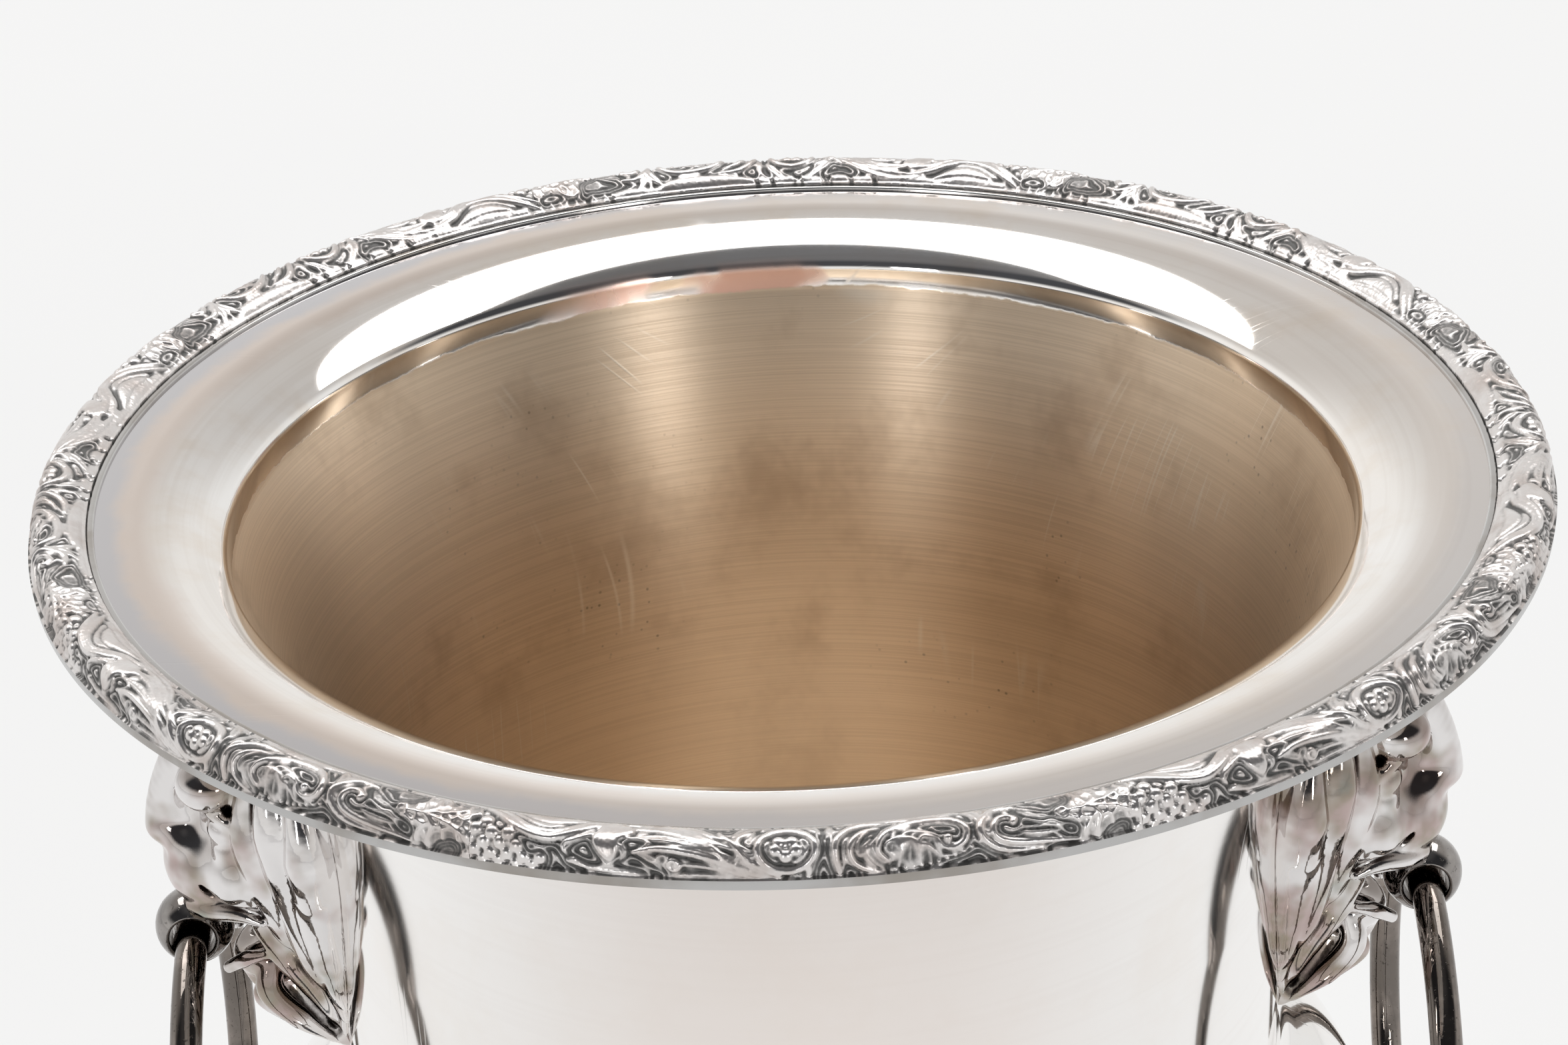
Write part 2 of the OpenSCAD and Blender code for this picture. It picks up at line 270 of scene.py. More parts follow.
def polish_colour(sh, point, depth, clouds, stains, broad_brush):
    """Bright plate with thin films: peach and grey rings out on the flare, more on the left; and a warm, darker
    painted reflection down the middle of the outer face, front and back.
    """
    x = numbers(sh, point)[0]
    polish = sh.mix(sh.steps(clouds, 0.36, 0.62), rgb(0.95, 0.93, 0.91), rgb(0.90, 0.86, 0.82))
    polish = sh.tint(polish, sh.steps(broad_brush, 0.46, 0.66), 0.22, rgb(0.76, 0.70, 0.65))
    polish = sh.tint(polish, sh.steps(stains, 0.46, 0.72), 0.5, rgb(0.80, 0.69, 0.58))
    ragged_edge = sh.plus(depth, sh.spread(stains, 9.0))
    on_flare = sh.steps(depth, -60.0, -50.0)
    left_more = sh.steps(x, -0.09, 0.06, 0.85, 0.30)
    peach = sh.times(sh.steps(ragged_edge, -21.0, -16.0, 1.0, 0.0), on_flare)
    polish = sh.tint(polish, peach, left_more, rgb(0.80, 0.70, 0.635))
    grey_ring = sh.times(sh.steps(ragged_edge, -26.5, -22.5, 1.0, 0.0), on_flare)
    polish = sh.tint(polish, grey_ring, left_more, rgb(0.66, 0.66, 0.69))
    outside = sh.steps(depth, OUTSIDE + 50, OUTSIDE + 100, 1.0, 0.0)
    polish = sh.tint(polish, outside, 0.7, rgb(0.95, 0.94, 0.93))
    # painted reflection: a warm, darker strip down the middle of the outer face, front and back, strongest at x =
    # 0 and gone 65 mm to each side
    warm_painted_reflection = sh.steps(sh.math("ABSOLUTE", x), 0.015, 0.065, 0.5, 0.0)
    return sh.tint(polish, outside, warm_painted_reflection, rgb(0.80, 0.70, 0.64))


def turned_silver(name, tint, stain, roughness, stain_amount):
    """Polished plate with fine marks of turning and a thin yellow-brown film."""
    material, sh = new_material(name)
    point = position(sh)
    film = sh.steps(sh.noise(point, 38.0, 4.0, 0.6), 0.42, 0.72)
    colour = sh.tint(tint, film, stain_amount, stain)
    marks = sh.noise(around_axis(sh, 1.2, 1500.0), 1.0, 2.0, 0.6)
    scratch = scratches(sh, point, (0.7, 0.4, 0.9), 380.0, 0.42)
    rough = sh.plus(sh.times(film, 0.08), sh.times(scratch, 0.12))
    height = sh.minus(sh.times(marks, 0.3), sh.times(scratch, 0.3))
    metal(sh, colour, sh.plus(rough, roughness), height, 0.00001)
    return material


def cast_silver(name, bright, mid, dark, dark_from, dark_to, roughness):
    """Cast silver: black-brown in the recesses, bright where it is rubbed, with a mottled film between."""
    material, sh = new_material(name)
    point = position(sh)
    relief = sh.attribute("relief")
    wear = sh.noise(point, 900.0, 3.0, 0.6)
    film = sh.steps(sh.noise(point, 95.0, 4.0, 0.6), 0.40, 0.70)
    level = sh.plus(relief, sh.spread(wear, 0.28))
    rubbed = sh.steps(level, dark_from, dark_to)
    colour = sh.mix(rubbed, dark, sh.mix(film, bright, mid))
    rough = sh.plus(sh.times(sh.minus(1.0, rubbed), 0.34), sh.times(film, 0.07))
    metal(sh, colour, sh.plus(rough, roughness), wear, 0.00004)
    return material


def mask_silver():
    """Polished cast silver under a brown and rose film, thickest in the hollows, with green in it; upward faces
    are darker, partly a real brown film on top and partly a painted reflection of the dark rim above.
    """
    material, sh = new_material("tarnished_mask_silver")
    point = position(sh)
    relief = sh.attribute("relief")
    up = numbers(sh, sh.node("TexCoord").outputs["Normal"])[2]
    cloud = sh.noise(point, 60.0, 3.0, 0.55)
    tint = sh.noise(point, 105.0, 3.0, 0.6)
    wear = sh.noise(point, 800.0, 3.0, 0.6)
    film = sh.mix(sh.steps(tint, 0.40, 0.60), rgb(0.50, 0.40, 0.38), rgb(0.38, 0.33, 0.27))
    film = sh.tint(film, sh.steps(tint, 0.58, 0.72), 0.5, rgb(0.30, 0.36, 0.33))
    colour = sh.mix(sh.steps(cloud, 0.42, 0.62), rgb(0.80, 0.78, 0.775), film)
    # upward faces are darkened: partly a real brown film on top, partly a painted reflection of the dark rim and
    # room above them
    level = sh.plus(up, sh.spread(cloud, 1.2))
    colour = sh.tint(colour, sh.steps(level, 0.0, 0.6), 0.65, rgb(0.20, 0.155, 0.13))
    hollow = sh.steps(sh.plus(relief, sh.spread(wear, 0.2)), 0.08, 0.52)
    colour = sh.mix(hollow, rgb(0.06, 0.045, 0.04), colour)
    rough = sh.plus(sh.times(sh.minus(1.0, hollow), 0.3), sh.times(cloud, 0.08))
    metal(sh, colour, sh.plus(rough, 0.02), wear, 0.00001)
    return material


def dark_silver(name, tint, worn, roughness):
    """Blackened silver that still takes a sharp highlight, paler where it has rubbed."""
    material, sh = new_material(name)
    point = position(sh)
    cloud = sh.steps(sh.noise(point, 70.0, 4.0, 0.6), 0.40, 0.75)
    speck = sh.steps(sh.noise(point, 1400.0, 2.0), 0.62, 0.72)
    colour = sh.mix(cloud, tint, worn)
    colour = sh.tint(colour, speck, 0.4, rgb(0.03, 0.025, 0.02))
    rough = sh.plus(sh.times(cloud, 0.06), sh.times(speck, 0.25))
    metal(sh, colour, sh.plus(rough, roughness), speck, 0.00001)
    return material


def brass_material():
    """Dull brass under a patchy brown film."""
    material, sh = new_material("dull_brass")
    point = position(sh)
    film = sh.steps(sh.noise(point, 160.0, 4.0, 0.6), 0.35, 0.7)
    colour = sh.mix(film, rgb(0.72, 0.52, 0.24), rgb(0.36, 0.23, 0.10))
    fine = sh.noise(point, 2600.0, 2.0)
    rough = sh.plus(0.24, sh.times(film, 0.22))
    metal(sh, colour, rough, fine, 0.00003)
    return material


# ---------------------------------------------------------------- meshes
def mesh_piece(name, points, faces, material, body, crease=40, attributes=()):
    """A solid mesh from points in millimetres, shaded smooth but for edges sharper than the crease."""
    mesh = bpy.data.meshes.new(name)
    points = np.asarray(points, np.float32) * MM
    faces = np.asarray(faces, np.int32)
    mesh.vertices.add(len(points))
    mesh.vertices.foreach_set("co", points.ravel())
    side = faces.shape[1]
    mesh.loops.add(faces.size)
    mesh.loops.foreach_set("vertex_index", faces.ravel())
    mesh.polygons.add(len(faces))
    mesh.polygons.foreach_set("loop_start", np.arange(len(faces), dtype=np.int32) * side)
    mesh.update(calc_edges=True)
    mesh.validate()
    mesh.shade_smooth()
    if crease:
        mesh.set_sharp_from_angle(angle=math.radians(crease))
    for key, values in dict(attributes).items():
        data = mesh.attributes.new(key, "FLOAT", "POINT").data
        data.foreach_set("value", np.asarray(values, np.float32).ravel())
    mesh.materials.append(material)
    piece = bpy.data.objects.new(name, mesh)
    bpy.context.scene.collection.objects.link(piece)
    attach(piece, body)
    return piece


def arc(cx, cz, r, start, end, count):
    """Points of an arc between two angles in degrees."""
    angle = np.radians(np.linspace(start, end, count + 1))
    return np.stack([cx + r * np.cos(angle), cz + r * np.sin(angle)], 1)


def joined(*parts):
    """One line of points from several, without repeats where they meet."""
    points = np.concatenate([np.atleast_2d(p) for p in parts])
    keep = np.ones(len(points), bool)
    keep[1:] = np.linalg.norm(np.diff(points, axis=0), axis=1) > 1e-4
    return points[keep]


def grid_faces(rows, columns, wrap_rows, wrap_columns):
    """Quads over a grid of points, which may close on itself either way."""
    row = np.arange(rows if wrap_rows else rows - 1)[:, None]
    column = np.arange(columns if wrap_columns else columns - 1)[None, :]
    next_row, next_column = (row + 1) % rows, (column + 1) % columns
    corners = (row * columns + column, next_row * columns + column,
               next_row * columns + next_column, row * columns + next_column)
    return np.stack([np.broadcast_to(c, (row.size, column.size)).ravel() for c in corners], 1)


def lathe(section, turns):
    """Points and faces of a closed section turned about the axis, with its points going clockwise."""
    section = np.asarray(section)
    angle = np.arange(turns) / turns * TAU
    points = np.stack([np.outer(np.cos(angle), section[:, 0]), np.outer(np.sin(angle), section[:, 0]),
                       np.broadcast_to(section[:, 1], (turns, len(section)))], 2).reshape(-1, 3)
    area = np.sum(section[:, 0] * np.roll(section[:, 1], -1) - np.roll(section[:, 0], -1) * section[:, 1])
    faces = grid_faces(turns, len(section), True, True)
    return points, faces[:, ::-1] if area < 0 else faces


def turned_piece(name, section, turns, material, crease=50):
    """A piece of the bucket turned about the axis."""
    points, faces = lathe(section, turns)
    return mesh_piece(name, points, faces, material, "bucket", crease)


def mouth_crease(t):
    """The crease at the mouth, a distance t out from the inner face."""
    middle = (BAND_SLOPE + MOUTH_SLOPE) / 2
    reach = t / cos_d(BAND_SLOPE - middle)
    return [MOUTH_R + reach * sin_d(middle), MOUTH_Z - reach * cos_d(middle)]


def bowl_face(t):
    """The inner (t = 0) or outer (t = SHEET) face of the bowl, from the rim to the axis, below the rim plane."""
    flare_cx = NECK_R + FLARE_ARC_R
    cove_r, cove_turn, belly_turn = 9.0, 60.0, 50.0
    cove_cx = NECK_R + SHEET + cove_r
    cove_x, cove_z = cove_cx - cove_r * cos_d(cove_turn), -NECK_END - cove_r * sin_d(cove_turn)
    belly_arc = (BELLY_R - cove_x) / (1 - cos_d(cove_turn))
    belly_cx, belly_cz = cove_x - belly_arc * cos_d(cove_turn), cove_z - belly_arc * sin_d(cove_turn)
    belly_x, belly_z = belly_cx + belly_arc * cos_d(belly_turn), belly_cz - belly_arc * sin_d(belly_turn)
    base_arc = (BOWL_DEPTH + belly_z) / (1 - sin_d(belly_turn))
    base_cx, base_cz = belly_x - base_arc * cos_d(belly_turn), belly_z + base_arc * sin_d(belly_turn)
    return joined(
        arc(BORDER_CX, BORDER_CZ, EDGE_R - t, EDGE_TURN, 90, 14),
        arc(TURN_CX, TURN_CZ, TURN_R - t, 90, 90 + TURN_SLOPE, 44),
        arc(BEND_CX, BEND_CZ, BEND_R - t, 90 + TURN_SLOPE, 90 + BAND_SLOPE, 14),
        mouth_crease(t),
        arc(flare_cx, -NECK_TOP, FLARE_ARC_R - t, 90 + MOUTH_SLOPE, 180, 60)[1:],
        arc(cove_cx, -NECK_END, cove_r + SHEET - t, 180, 180 + cove_turn, 18),
        arc(belly_cx, belly_cz, belly_arc - SHEET + t, cove_turn, -belly_turn, 40),
        arc(base_cx, base_cz, base_arc - SHEET + t, -belly_turn, -90 + 0.3, 36))


def make_bowl():
    """The bowl, with each point's distance down the inner face from the mouth kept for its material."""
    inner, outer = bowl_face(0.0), bowl_face(SHEET)
    section = np.concatenate([inner, outer[::-1]]) + [0, RIM_Z]
    points, faces = lathe(section, RIM_TURNS)
    lengths = np.concatenate([[0], np.cumsum(np.linalg.norm(np.diff(inner, axis=0), axis=1))])
    mouth = np.argmin(np.hypot(inner[:, 0] - MOUTH_R, inner[:, 1] - MOUTH_Z))
    depth = np.concatenate([lengths - lengths[mouth], np.full(len(outer), OUTSIDE)])
    piece = mesh_piece("bowl", points, faces, bowl_material(), "bucket", 60,
                       {"depth": np.tile(depth, RIM_TURNS)})
    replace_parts(piece, "bowl_shell")


def make_rim_wires():
    """The smooth lip under the border, and the plain step between the border and the flare."""
    silver = turned_silver("turned_silver_lip", rgb(0.52, 0.515, 0.51), rgb(0.34, 0.31, 0.28), 0.24, 0.9)
    step_metal = turned_silver("oxidised_step", rgb(0.62, 0.61, 0.60), rgb(0.34, 0.29, 0.24), 0.12, 0.7)
    lip_r = BORDER_R - 0.1
    low = math.degrees(math.asin((LIP_TOP - LIP_H - BORDER_CZ) / lip_r))
    high = math.degrees(math.asin((LIP_TOP - BORDER_CZ) / lip_r))
    wire = np.concatenate([arc(BORDER_CX, BORDER_CZ, lip_r, low, high, 12),
                           arc(BORDER_CX, BORDER_CZ, EDGE_R, 20, EDGE_TURN, 6)]) + [0, RIM_Z]
    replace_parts(turned_piece("rim_lip", wire, RIM_TURNS, silver, crease=40), "rim_edge_wire")
    round_r = 0.45
    collar_z = BORDER_CZ + EDGE_R
    step = joined([[FLARE_R - STEP_W, collar_z]],
                  arc(FLARE_R - STEP_W + round_r, STEP_TOP - round_r, round_r, 180, 90, 6),
                  arc(FLARE_R - round_r, STEP_TOP - round_r, round_r, 90, 0, 6),
                  [[FLARE_R, collar_z]]) + [0, RIM_Z]
    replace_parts(turned_piece("rim_step", step, RIM_TURNS, step_metal, 40), "border_step_wire")


def foot_outline(t):
    """The foot's trumpet from the stem to the lip of its base, a distance t in from the outer face."""
    top_r, lip_r, dome_in, edge_rise = KNOP_R, FOOT_R - FOOT_LIP_IN, 9.6, 5.0
    drop = FOOT_H - FOOT_RIM_H - edge_rise
    run = lip_r - top_r - dome_in
    sweep = 2 * math.degrees(math.atan2(drop, run))
    trumpet_r = run / sin_d(sweep)
    return joined([[STUD_HOLE_R, FOOT_H - t], [top_r - t, FOOT_H - t]],
                  arc(top_r + run, FOOT_H - drop + trumpet_r, trumpet_r + t, 270 - sweep, 270, 40),
                  arc(lip_r - dome_in, FOOT_RIM_H, edge_rise - t, 90, 60, 10), [[lip_r - t, FOOT_RIM_H]])


def make_foot():
    """The collar and knop of the stem, the trumpet foot and the moulding that it stands on."""
    silver = turned_silver("turned_silver_foot", rgb(0.92, 0.90, 0.875), rgb(0.70, 0.60, 0.50), 0.05, 0.55)
    half = COLLAR_H / 2
    collar = joined([[STUD_HEAD_HOLE_R, 0], [STUD_HEAD_HOLE_R, COLLAR_H]],
                    arc(COLLAR_R, half, half, 90, -90, 20)) + [0, FOOT_H + KNOP_H]
    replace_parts(turned_piece("stem_collar", collar, STEM_TURNS, silver), "bowl_collar")
    knop = joined([[STUD_HOLE_R, 0], [STUD_HOLE_R, KNOP_H], [KNOP_R, KNOP_H]],
                  arc(KNOP_R - 1, KNOP_H / 2, KNOP_H / 2 - 1.5, 90, -90, 32), [[KNOP_R, 0]]) + [0, FOOT_H]
    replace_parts(turned_piece("stem_bulb", knop, STEM_TURNS, silver), "stem_knop")
    shell = joined(foot_outline(0.0), foot_outline(SHEET)[::-1])
    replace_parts(turned_piece("foot_trumpet", shell, FOOT_TURNS, silver), "foot_shell")
    inside_r, lip_r, r = FOOT_R - MOULDING_W, FOOT_R - FOOT_LIP_IN, MOULDING_R
    moulding = joined([[inside_r, 0], [FOOT_R - 2, 0]], arc(FOOT_R - r, r, r, -60, 90, 30),
                      [[lip_r, 2 * r], [lip_r, FOOT_RIM_H], [inside_r, FOOT_RIM_H]])
    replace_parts(turned_piece("foot_moulding", moulding, FOOT_TURNS, silver), "foot_base_moulding")


# ---------------------------------------------------------------- cast vine border
CASTINGS = 8
SPAN = 360 / CASTINGS
DEGREE = math.radians(1) * BORDER_CX        # millimetres along the border in a degree
ROSETTE_AT = -1.3                           # azimuth of a rosette's middle, in degrees
PITCH = 0.16
BROADER = 1.42                              # how much fuller the ridges are cast than they were cut
RELIEF = 1.05
V_INNER, V_OUTER = -4.81, 7.08              # the ornament's own inner and outer edge, from its crest


def border_section(count=2400):
    """The border's domed section, and how far each of its points is round it from the crest."""
    angle = np.linspace(0, math.pi / 2, count // 2)
    sides = [(-BORDER_IN, 2 / INNER_SQUARE), (BORDER_R - BORDER_CREST, 2 / OUTER_SQUARE)]
    inner, outer = [np.stack([reach * np.sin(angle) ** power, BORDER_TOP * np.abs(np.cos(angle)) ** power], 1)
                    for reach, power in sides]
    line = np.concatenate([inner[::-1], outer[1:]])
    length = np.concatenate([[0], np.cumsum(np.hypot(*np.diff(line, axis=0).T))])
    return (line[:, 0] + BORDER_CX + BORDER_CREST, line[:, 1] + BORDER_CZ,
            length - length[len(inner) - 1])


def spline(points, steps=9):
    """A smooth line through a few points."""
    p = np.asarray(points, float)
    p = np.concatenate([[2 * p[0] - p[1]], p, [2 * p[-1] - p[-2]]])
    t = np.linspace(0, 1, steps, endpoint=False)[:, None]
    line = []
    for a, b, c, d in zip(p, p[1:], p[2:], p[3:]):
        line.append(0.5 * (2 * b + (c - a) * t + (2 * a - 5 * b + 4 * c - d) * t ** 2
                           + (3 * b - a - 3 * c + d) * t ** 3))
    return np.concatenate(line + [p[-2:-1]])


class Relief:
    """Height of one casting's ornament: u degrees along from the rosette, v out from the crest."""

    def __init__(self, v_low, v_high):
        self.columns = int(round(SPAN * DEGREE / PITCH))
        self.rows = int(round((v_high - v_low) / PITCH)) + 1
        self.length = SPAN * DEGREE
        self.x = np.arange(self.columns) * self.length / self.columns
        self.v = np.linspace(v_low, v_high, self.rows)
        self.height = np.zeros((self.columns, self.rows))

    def window(self, x_low, x_high):
        """The columns between two places along the border, and where each is."""
        step = self.length / self.columns
        index = np.arange(math.floor(x_low / step), math.ceil(x_high / step) + 1)
        index = index[:self.columns]
        return index % self.columns, index * step

    def measure(self, line, reach):
        """The columns near a line, and each point's distance from it and place along it."""
        line = np.asarray(line, float) * [DEGREE, 1]
        index, x = self.window(line[:, 0].min() - reach, line[:, 0].max() + reach)
        gx, gv = x[:, None], self.v[None, :]
        best = np.full((len(x), self.rows), 1e9)
        along = np.zeros_like(best)
        for k, (a, b) in enumerate(zip(line, line[1:])):
            d = b - a
            t = np.clip(((gx - a[0]) * d[0] + (gv - a[1]) * d[1]) / max(d @ d, 1e-9), 0, 1)
            off_x, off_v = gx - a[0] - t * d[0], gv - a[1] - t * d[1]
            distance = np.hypot(off_x, off_v)
            closer = distance < best
            best = np.where(closer, distance, best)
            along = np.where(closer, (k + t) / (len(line) - 1), along)
        return index, best, along

    def raise_to(self, index, height):
        self.height[index] = np.maximum(self.height[index], height)

    def ridge(self, points, width, height, ends=(0.5, 0.5), groove=0.0):
        """A rounded ridge that tapers towards its ends, and may have a groove along its middle."""
        width = width * BROADER
        index, distance, along = self.measure(spline(points), width)
        w = width * np.interp(along, [0, 0.25, 0.75, 1], [ends[0], 1, 1, ends[1]])
        h = height * np.interp(along, [0, 0.2, 0.8, 1], [0.6 + 0.4 * ends[0], 1, 1, 0.6 + 0.4 * ends[1]])
        across = np.clip(distance / w, 0, 1)
        shape = np.sqrt(1 - across ** 2) - groove * np.exp(-(across / 0.28) ** 2)
        self.raise_to(index, np.where(distance < w, h * shape, 0))

    def leaf(self, points, width, height, veins=0, tip=0.05):
        """A leaf along a line: widest before its middle, pointed, with a raised edge and a sunk midrib."""
        index, distance, along = self.measure(spline(points), width)
        w = width * np.interp(along, [0, 0.3, 0.65, 1], [0.35, 1, 0.8, tip])
        across = np.clip(distance / np.maximum(w, 1e-6), 0, 1)
        shape = np.sqrt(1 - across ** 4) * (0.72 + 0.28 * across) - 0.25 * np.exp(-(across / 0.2) ** 2)
        if veins:
            shape = shape - 0.14 * (1 + np.cos(TAU * veins * (along - 0.22 * across))) * across
        self.raise_to(index, np.where(distance < w, height * shape, 0))

    def ball(self, u, v, radius, height, stretch=1.0):
        """A bead, which may be stretched along the border."""
        index, x = self.window(u * DEGREE - radius * stretch, u * DEGREE + radius * stretch)
        d2 = ((x[:, None] - u * DEGREE) / stretch) ** 2 + (self.v[None, :] - v) ** 2
        dome = np.sqrt(np.clip(1 - d2 / radius ** 2, 0, 1))
        self.raise_to(index, height * (0.25 + 0.75 * dome) * (dome > 0))

    def plateau(self, points, height, edge=0.35):
        """A filled outline with a rounded edge."""
        outline = spline(list(points) + [points[0]])
        index, distance, _ = self.measure(outline, 0.1)
        line = outline * [DEGREE, 1]
        x = self.window(line[:, 0].min() - 0.1, line[:, 0].max() + 0.1)[1]
        inside = np.zeros((len(x), self.rows), bool)
        for a, b in zip(line, line[1:]):
            crosses = (a[1] > self.v[None, :]) != (b[1] > self.v[None, :])
            at = (b[0] - a[0]) * (self.v[None, :] - a[1]) / (b[1] - a[1] + 1e-12) + a[0]
            inside ^= crosses & (x[:, None] < at)
        shape = np.clip(distance / edge, 0, 1)
        self.raise_to(index, np.where(inside, height * np.sqrt(1 - (1 - shape) ** 2), 0))

    def cut(self, points, width, depth):
        """A sharp groove."""
        index, distance, _ = self.measure(spline(points), width)
        self.height[index] -= depth * np.clip(1 - distance / width, 0, 1)
        self.height = np.maximum(self.height, 0)

    def cells(self, u_low, u_high, v_low, v_high, size, depth, seed):
        """Veined cells sunk into what is already raised there."""
        rng = np.random.default_rng(seed)
        index, x = self.window(u_low * DEGREE, u_high * DEGREE)
        count_x = int((u_high - u_low) * DEGREE / size)
        count_v = int((v_high - v_low) / size)
        seeds = [(u_low * DEGREE + (i + 0.5 * (j % 2) + rng.uniform(0.2, 0.8)) * size,
                  v_low + (j + rng.uniform(0.2, 0.8)) * size) for i in range(count_x) for j in range(count_v)]
        d = np.stack([np.hypot(x[:, None] - sx, self.v[None, :] - sv) for sx, sv in seeds])
        d.sort(0)
        wall = np.clip((d[1] - d[0]) / (0.42 * size), 0, 1)
        inside = (self.v[None, :] > v_low) & (self.v[None, :] < v_high)
        here = self.height[index]
        self.height[index] = np.where(inside & (here > 0), here - depth * wall ** 1.2, here)

    def hatch(self, u_low, u_high, v_low, v_high):
        """Fine lines cut along the ground."""
        index, x = self.window(u_low * DEGREE, u_high * DEGREE)
        lines = 0.05 * (1 + np.cos(TAU * self.v / 0.46))
        inside = (self.v > v_low) & (self.v < v_high)
        self.raise_to(index, np.broadcast_to(np.where(inside, lines, 0), (len(x), self.rows)))


def rosette(r):
    """A flower of five petals in an oval loop that stands on two legs."""
    turn = np.linspace(0, TAU, 25)
    loop = [(-0.05 + 1.9 * math.cos(a), 2.3 + 3.7 * math.sin(a)) for a in turn]
    r.ridge(loop, 0.52, 0.86, (1, 1))
    for k in range(5):
        a = TAU * (k / 5 + 0.05)
        r.ball(-0.1 + 0.72 * math.cos(a), 2.2 + 1.5 * math.sin(a), 1.12, 0.86)
    r.ball(-0.1, 2.2, 0.5, 0.7)
    r.ridge([(-0.35, 5.7), (-0.55, 6.5), (-0.7, 7.0)], 0.45, 0.75, (1, 0.7))
    r.ridge([(1.35, 5.2), (1.4, 6.3), (1.25, 7.0)], 0.45, 0.75, (1, 0.7))


def side_scrolls(r):
    """Nested C-shaped ridges beside the rosette, each ending in a bead at the lip."""
    r.ridge([(6.6, -2.1), (4.7, -1.8), (3.4, 0.6), (3.1, 3.6), (3.35, 6.4)], 0.5, 0.86, (0.5, 1))
    r.ridge([(6.2, -1.0), (4.9, 0.0), (4.1, 2.6), (4.3, 5.0), (5.3, 6.5), (6.2, 6.9)], 0.48, 0.8, (0.4, 0.8))
    r.ridge([(5.5, 1.4), (5.0, 3.2), (5.2, 5.0), (5.7, 6.0)], 0.42, 0.62, (0.4, 0.6))
    r.ball(3.35, 6.45, 0.62, 0.85)
    r.ball(5.35, 6.5, 0.5, 0.8)


def shell(r):
    """A shell that winds into an eye, with ribs that fan out from it to a beaded edge."""
    eye_u, eye_v = 10.55, 2.75
    outline = [(6.5, 5.2), (5.9, 3.4), (6.4, 0.9), (7.6, -0.75), (9.4, -1.35), (11.0, -0.8), (11.8, 1.2),
               (11.65, 3.3), (10.9, 4.25), (10.15, 3.9), (9.9, 2.7)]
    r.ridge(outline, 0.5, 0.93, (0.7, 0.4))
    r.ball(eye_u, eye_v, 0.82, 0.95)
    ribs = 8
    for k in range(ribs):
        share = k / (ribs - 1)
        end = (6.6 + 5.0 * share ** 1.1, 5.0 + 1.5 * math.sin(math.pi * min(1, 0.18 + share)))
        mid = (7.3 + 3.4 * share, 0.2 + 4.3 * share ** 0.9)
        r.ridge([(9.75 + 0.5 * share, 1.4 + 2.8 * share), mid, end], 0.34, 0.5 + 0.12 * (k % 2), (0.5, 0.9))
    for k in range(10):
        share = k / 9
        r.ball(7.6 + 5.0 * share, 6.55 - 2.6 * share ** 2.2, 0.42, 0.84)


def leaf_tips(r):
    """Pointed leaves that meet in a V at the inner edge."""
    r.leaf([(13.0, 1.2), (12.7, -1.4), (11.6, -4.0)], 1.0, 0.86, 0)
    r.leaf([(13.05, 1.0), (13.3, -1.8), (14.5, -4.4)], 0.95, 0.82, 0)
    r.leaf([(13.0, -0.8), (12.95, -2.8), (12.9, -4.7)], 0.55, 0.7, 0)


def second_scroll(r):
    """An S-shaped scroll of two ridges, hooked at its start, that runs down to the lip."""
    r.ridge([(15.5, -1.5), (14.1, -1.6), (13.0, 0.4), (12.75, 2.6), (13.3, 4.6), (14.6, 6.0), (17.0, 6.6)],
            0.55, 0.93, (0.5, 0.4))
    r.ridge([(15.2, 1.3), (14.6, 0.3), (13.9, 0.9), (13.6, 2.9), (14.2, 4.3), (15.7, 5.2), (18.2, 5.9), (20, 6.7)],
            0.5, 0.86, (0.9, 0.4))
    r.ridge([(15.2, 3.4), (16.4, 4.2), (18.4, 4.4)], 0.4, 0.6, (0.3, 0.4))
    r.ball(15.0, 1.75, 0.68, 0.9)
    r.leaf([(15.6, -0.6), (16.6, 1.2), (18.2, 2.4)], 0.85, 0.66, 3)
    for k in range(4):
        r.ball(13.3 + 1.15 * k, 6.7, 0.3, 0.45)


def vine_leaf(r):
    """A broad vine leaf of five lobes with a net of veins."""
    centre_u, centre_v = 21.2, 1.6
    lobes, outline = 5, []
    for a in np.linspace(0, TAU, 60, endpoint=False):
        reach = 1 + 0.20 * math.cos(lobes * (a - 0.6)) + 0.06 * math.cos(3 * lobes * a)
        outline.append((centre_u + 2.9 * reach * math.cos(a), centre_v + 4.6 * reach * math.sin(a)))
    r.plateau(outline, 0.84)
    r.cells(centre_u - 3.6, centre_u + 3.6, -4.4, 6.8, 1.9, 0.42, 5)
    for k in range(lobes):
        a = 0.6 + TAU * k / lobes
        r.ridge([(centre_u - 1.2, centre_v), (centre_u + 1.0 * math.cos(a), centre_v + 1.7 * math.sin(a)),
                 (centre_u + 2.9 * math.cos(a), centre_v + 4.7 * math.sin(a))], 0.3, 0.95, (1, 0.3))


def grapes(r):
    """A bunch of grapes that hangs under the leaf, its rows closing towards the lip."""
    rows = ((0.6, 24.6, 1), (2.3, 24.0, 3), (4.1, 23.5, 4), (5.7, 24.0, 5), (6.9, 23.5, 5))
    for v, start, count in rows:
        for k in range(count):
            r.ball(start + 1.16 * k, v + 0.22 * (k % 2), 1.3 - 0.03 * v, 0.97 - 0.02 * k)


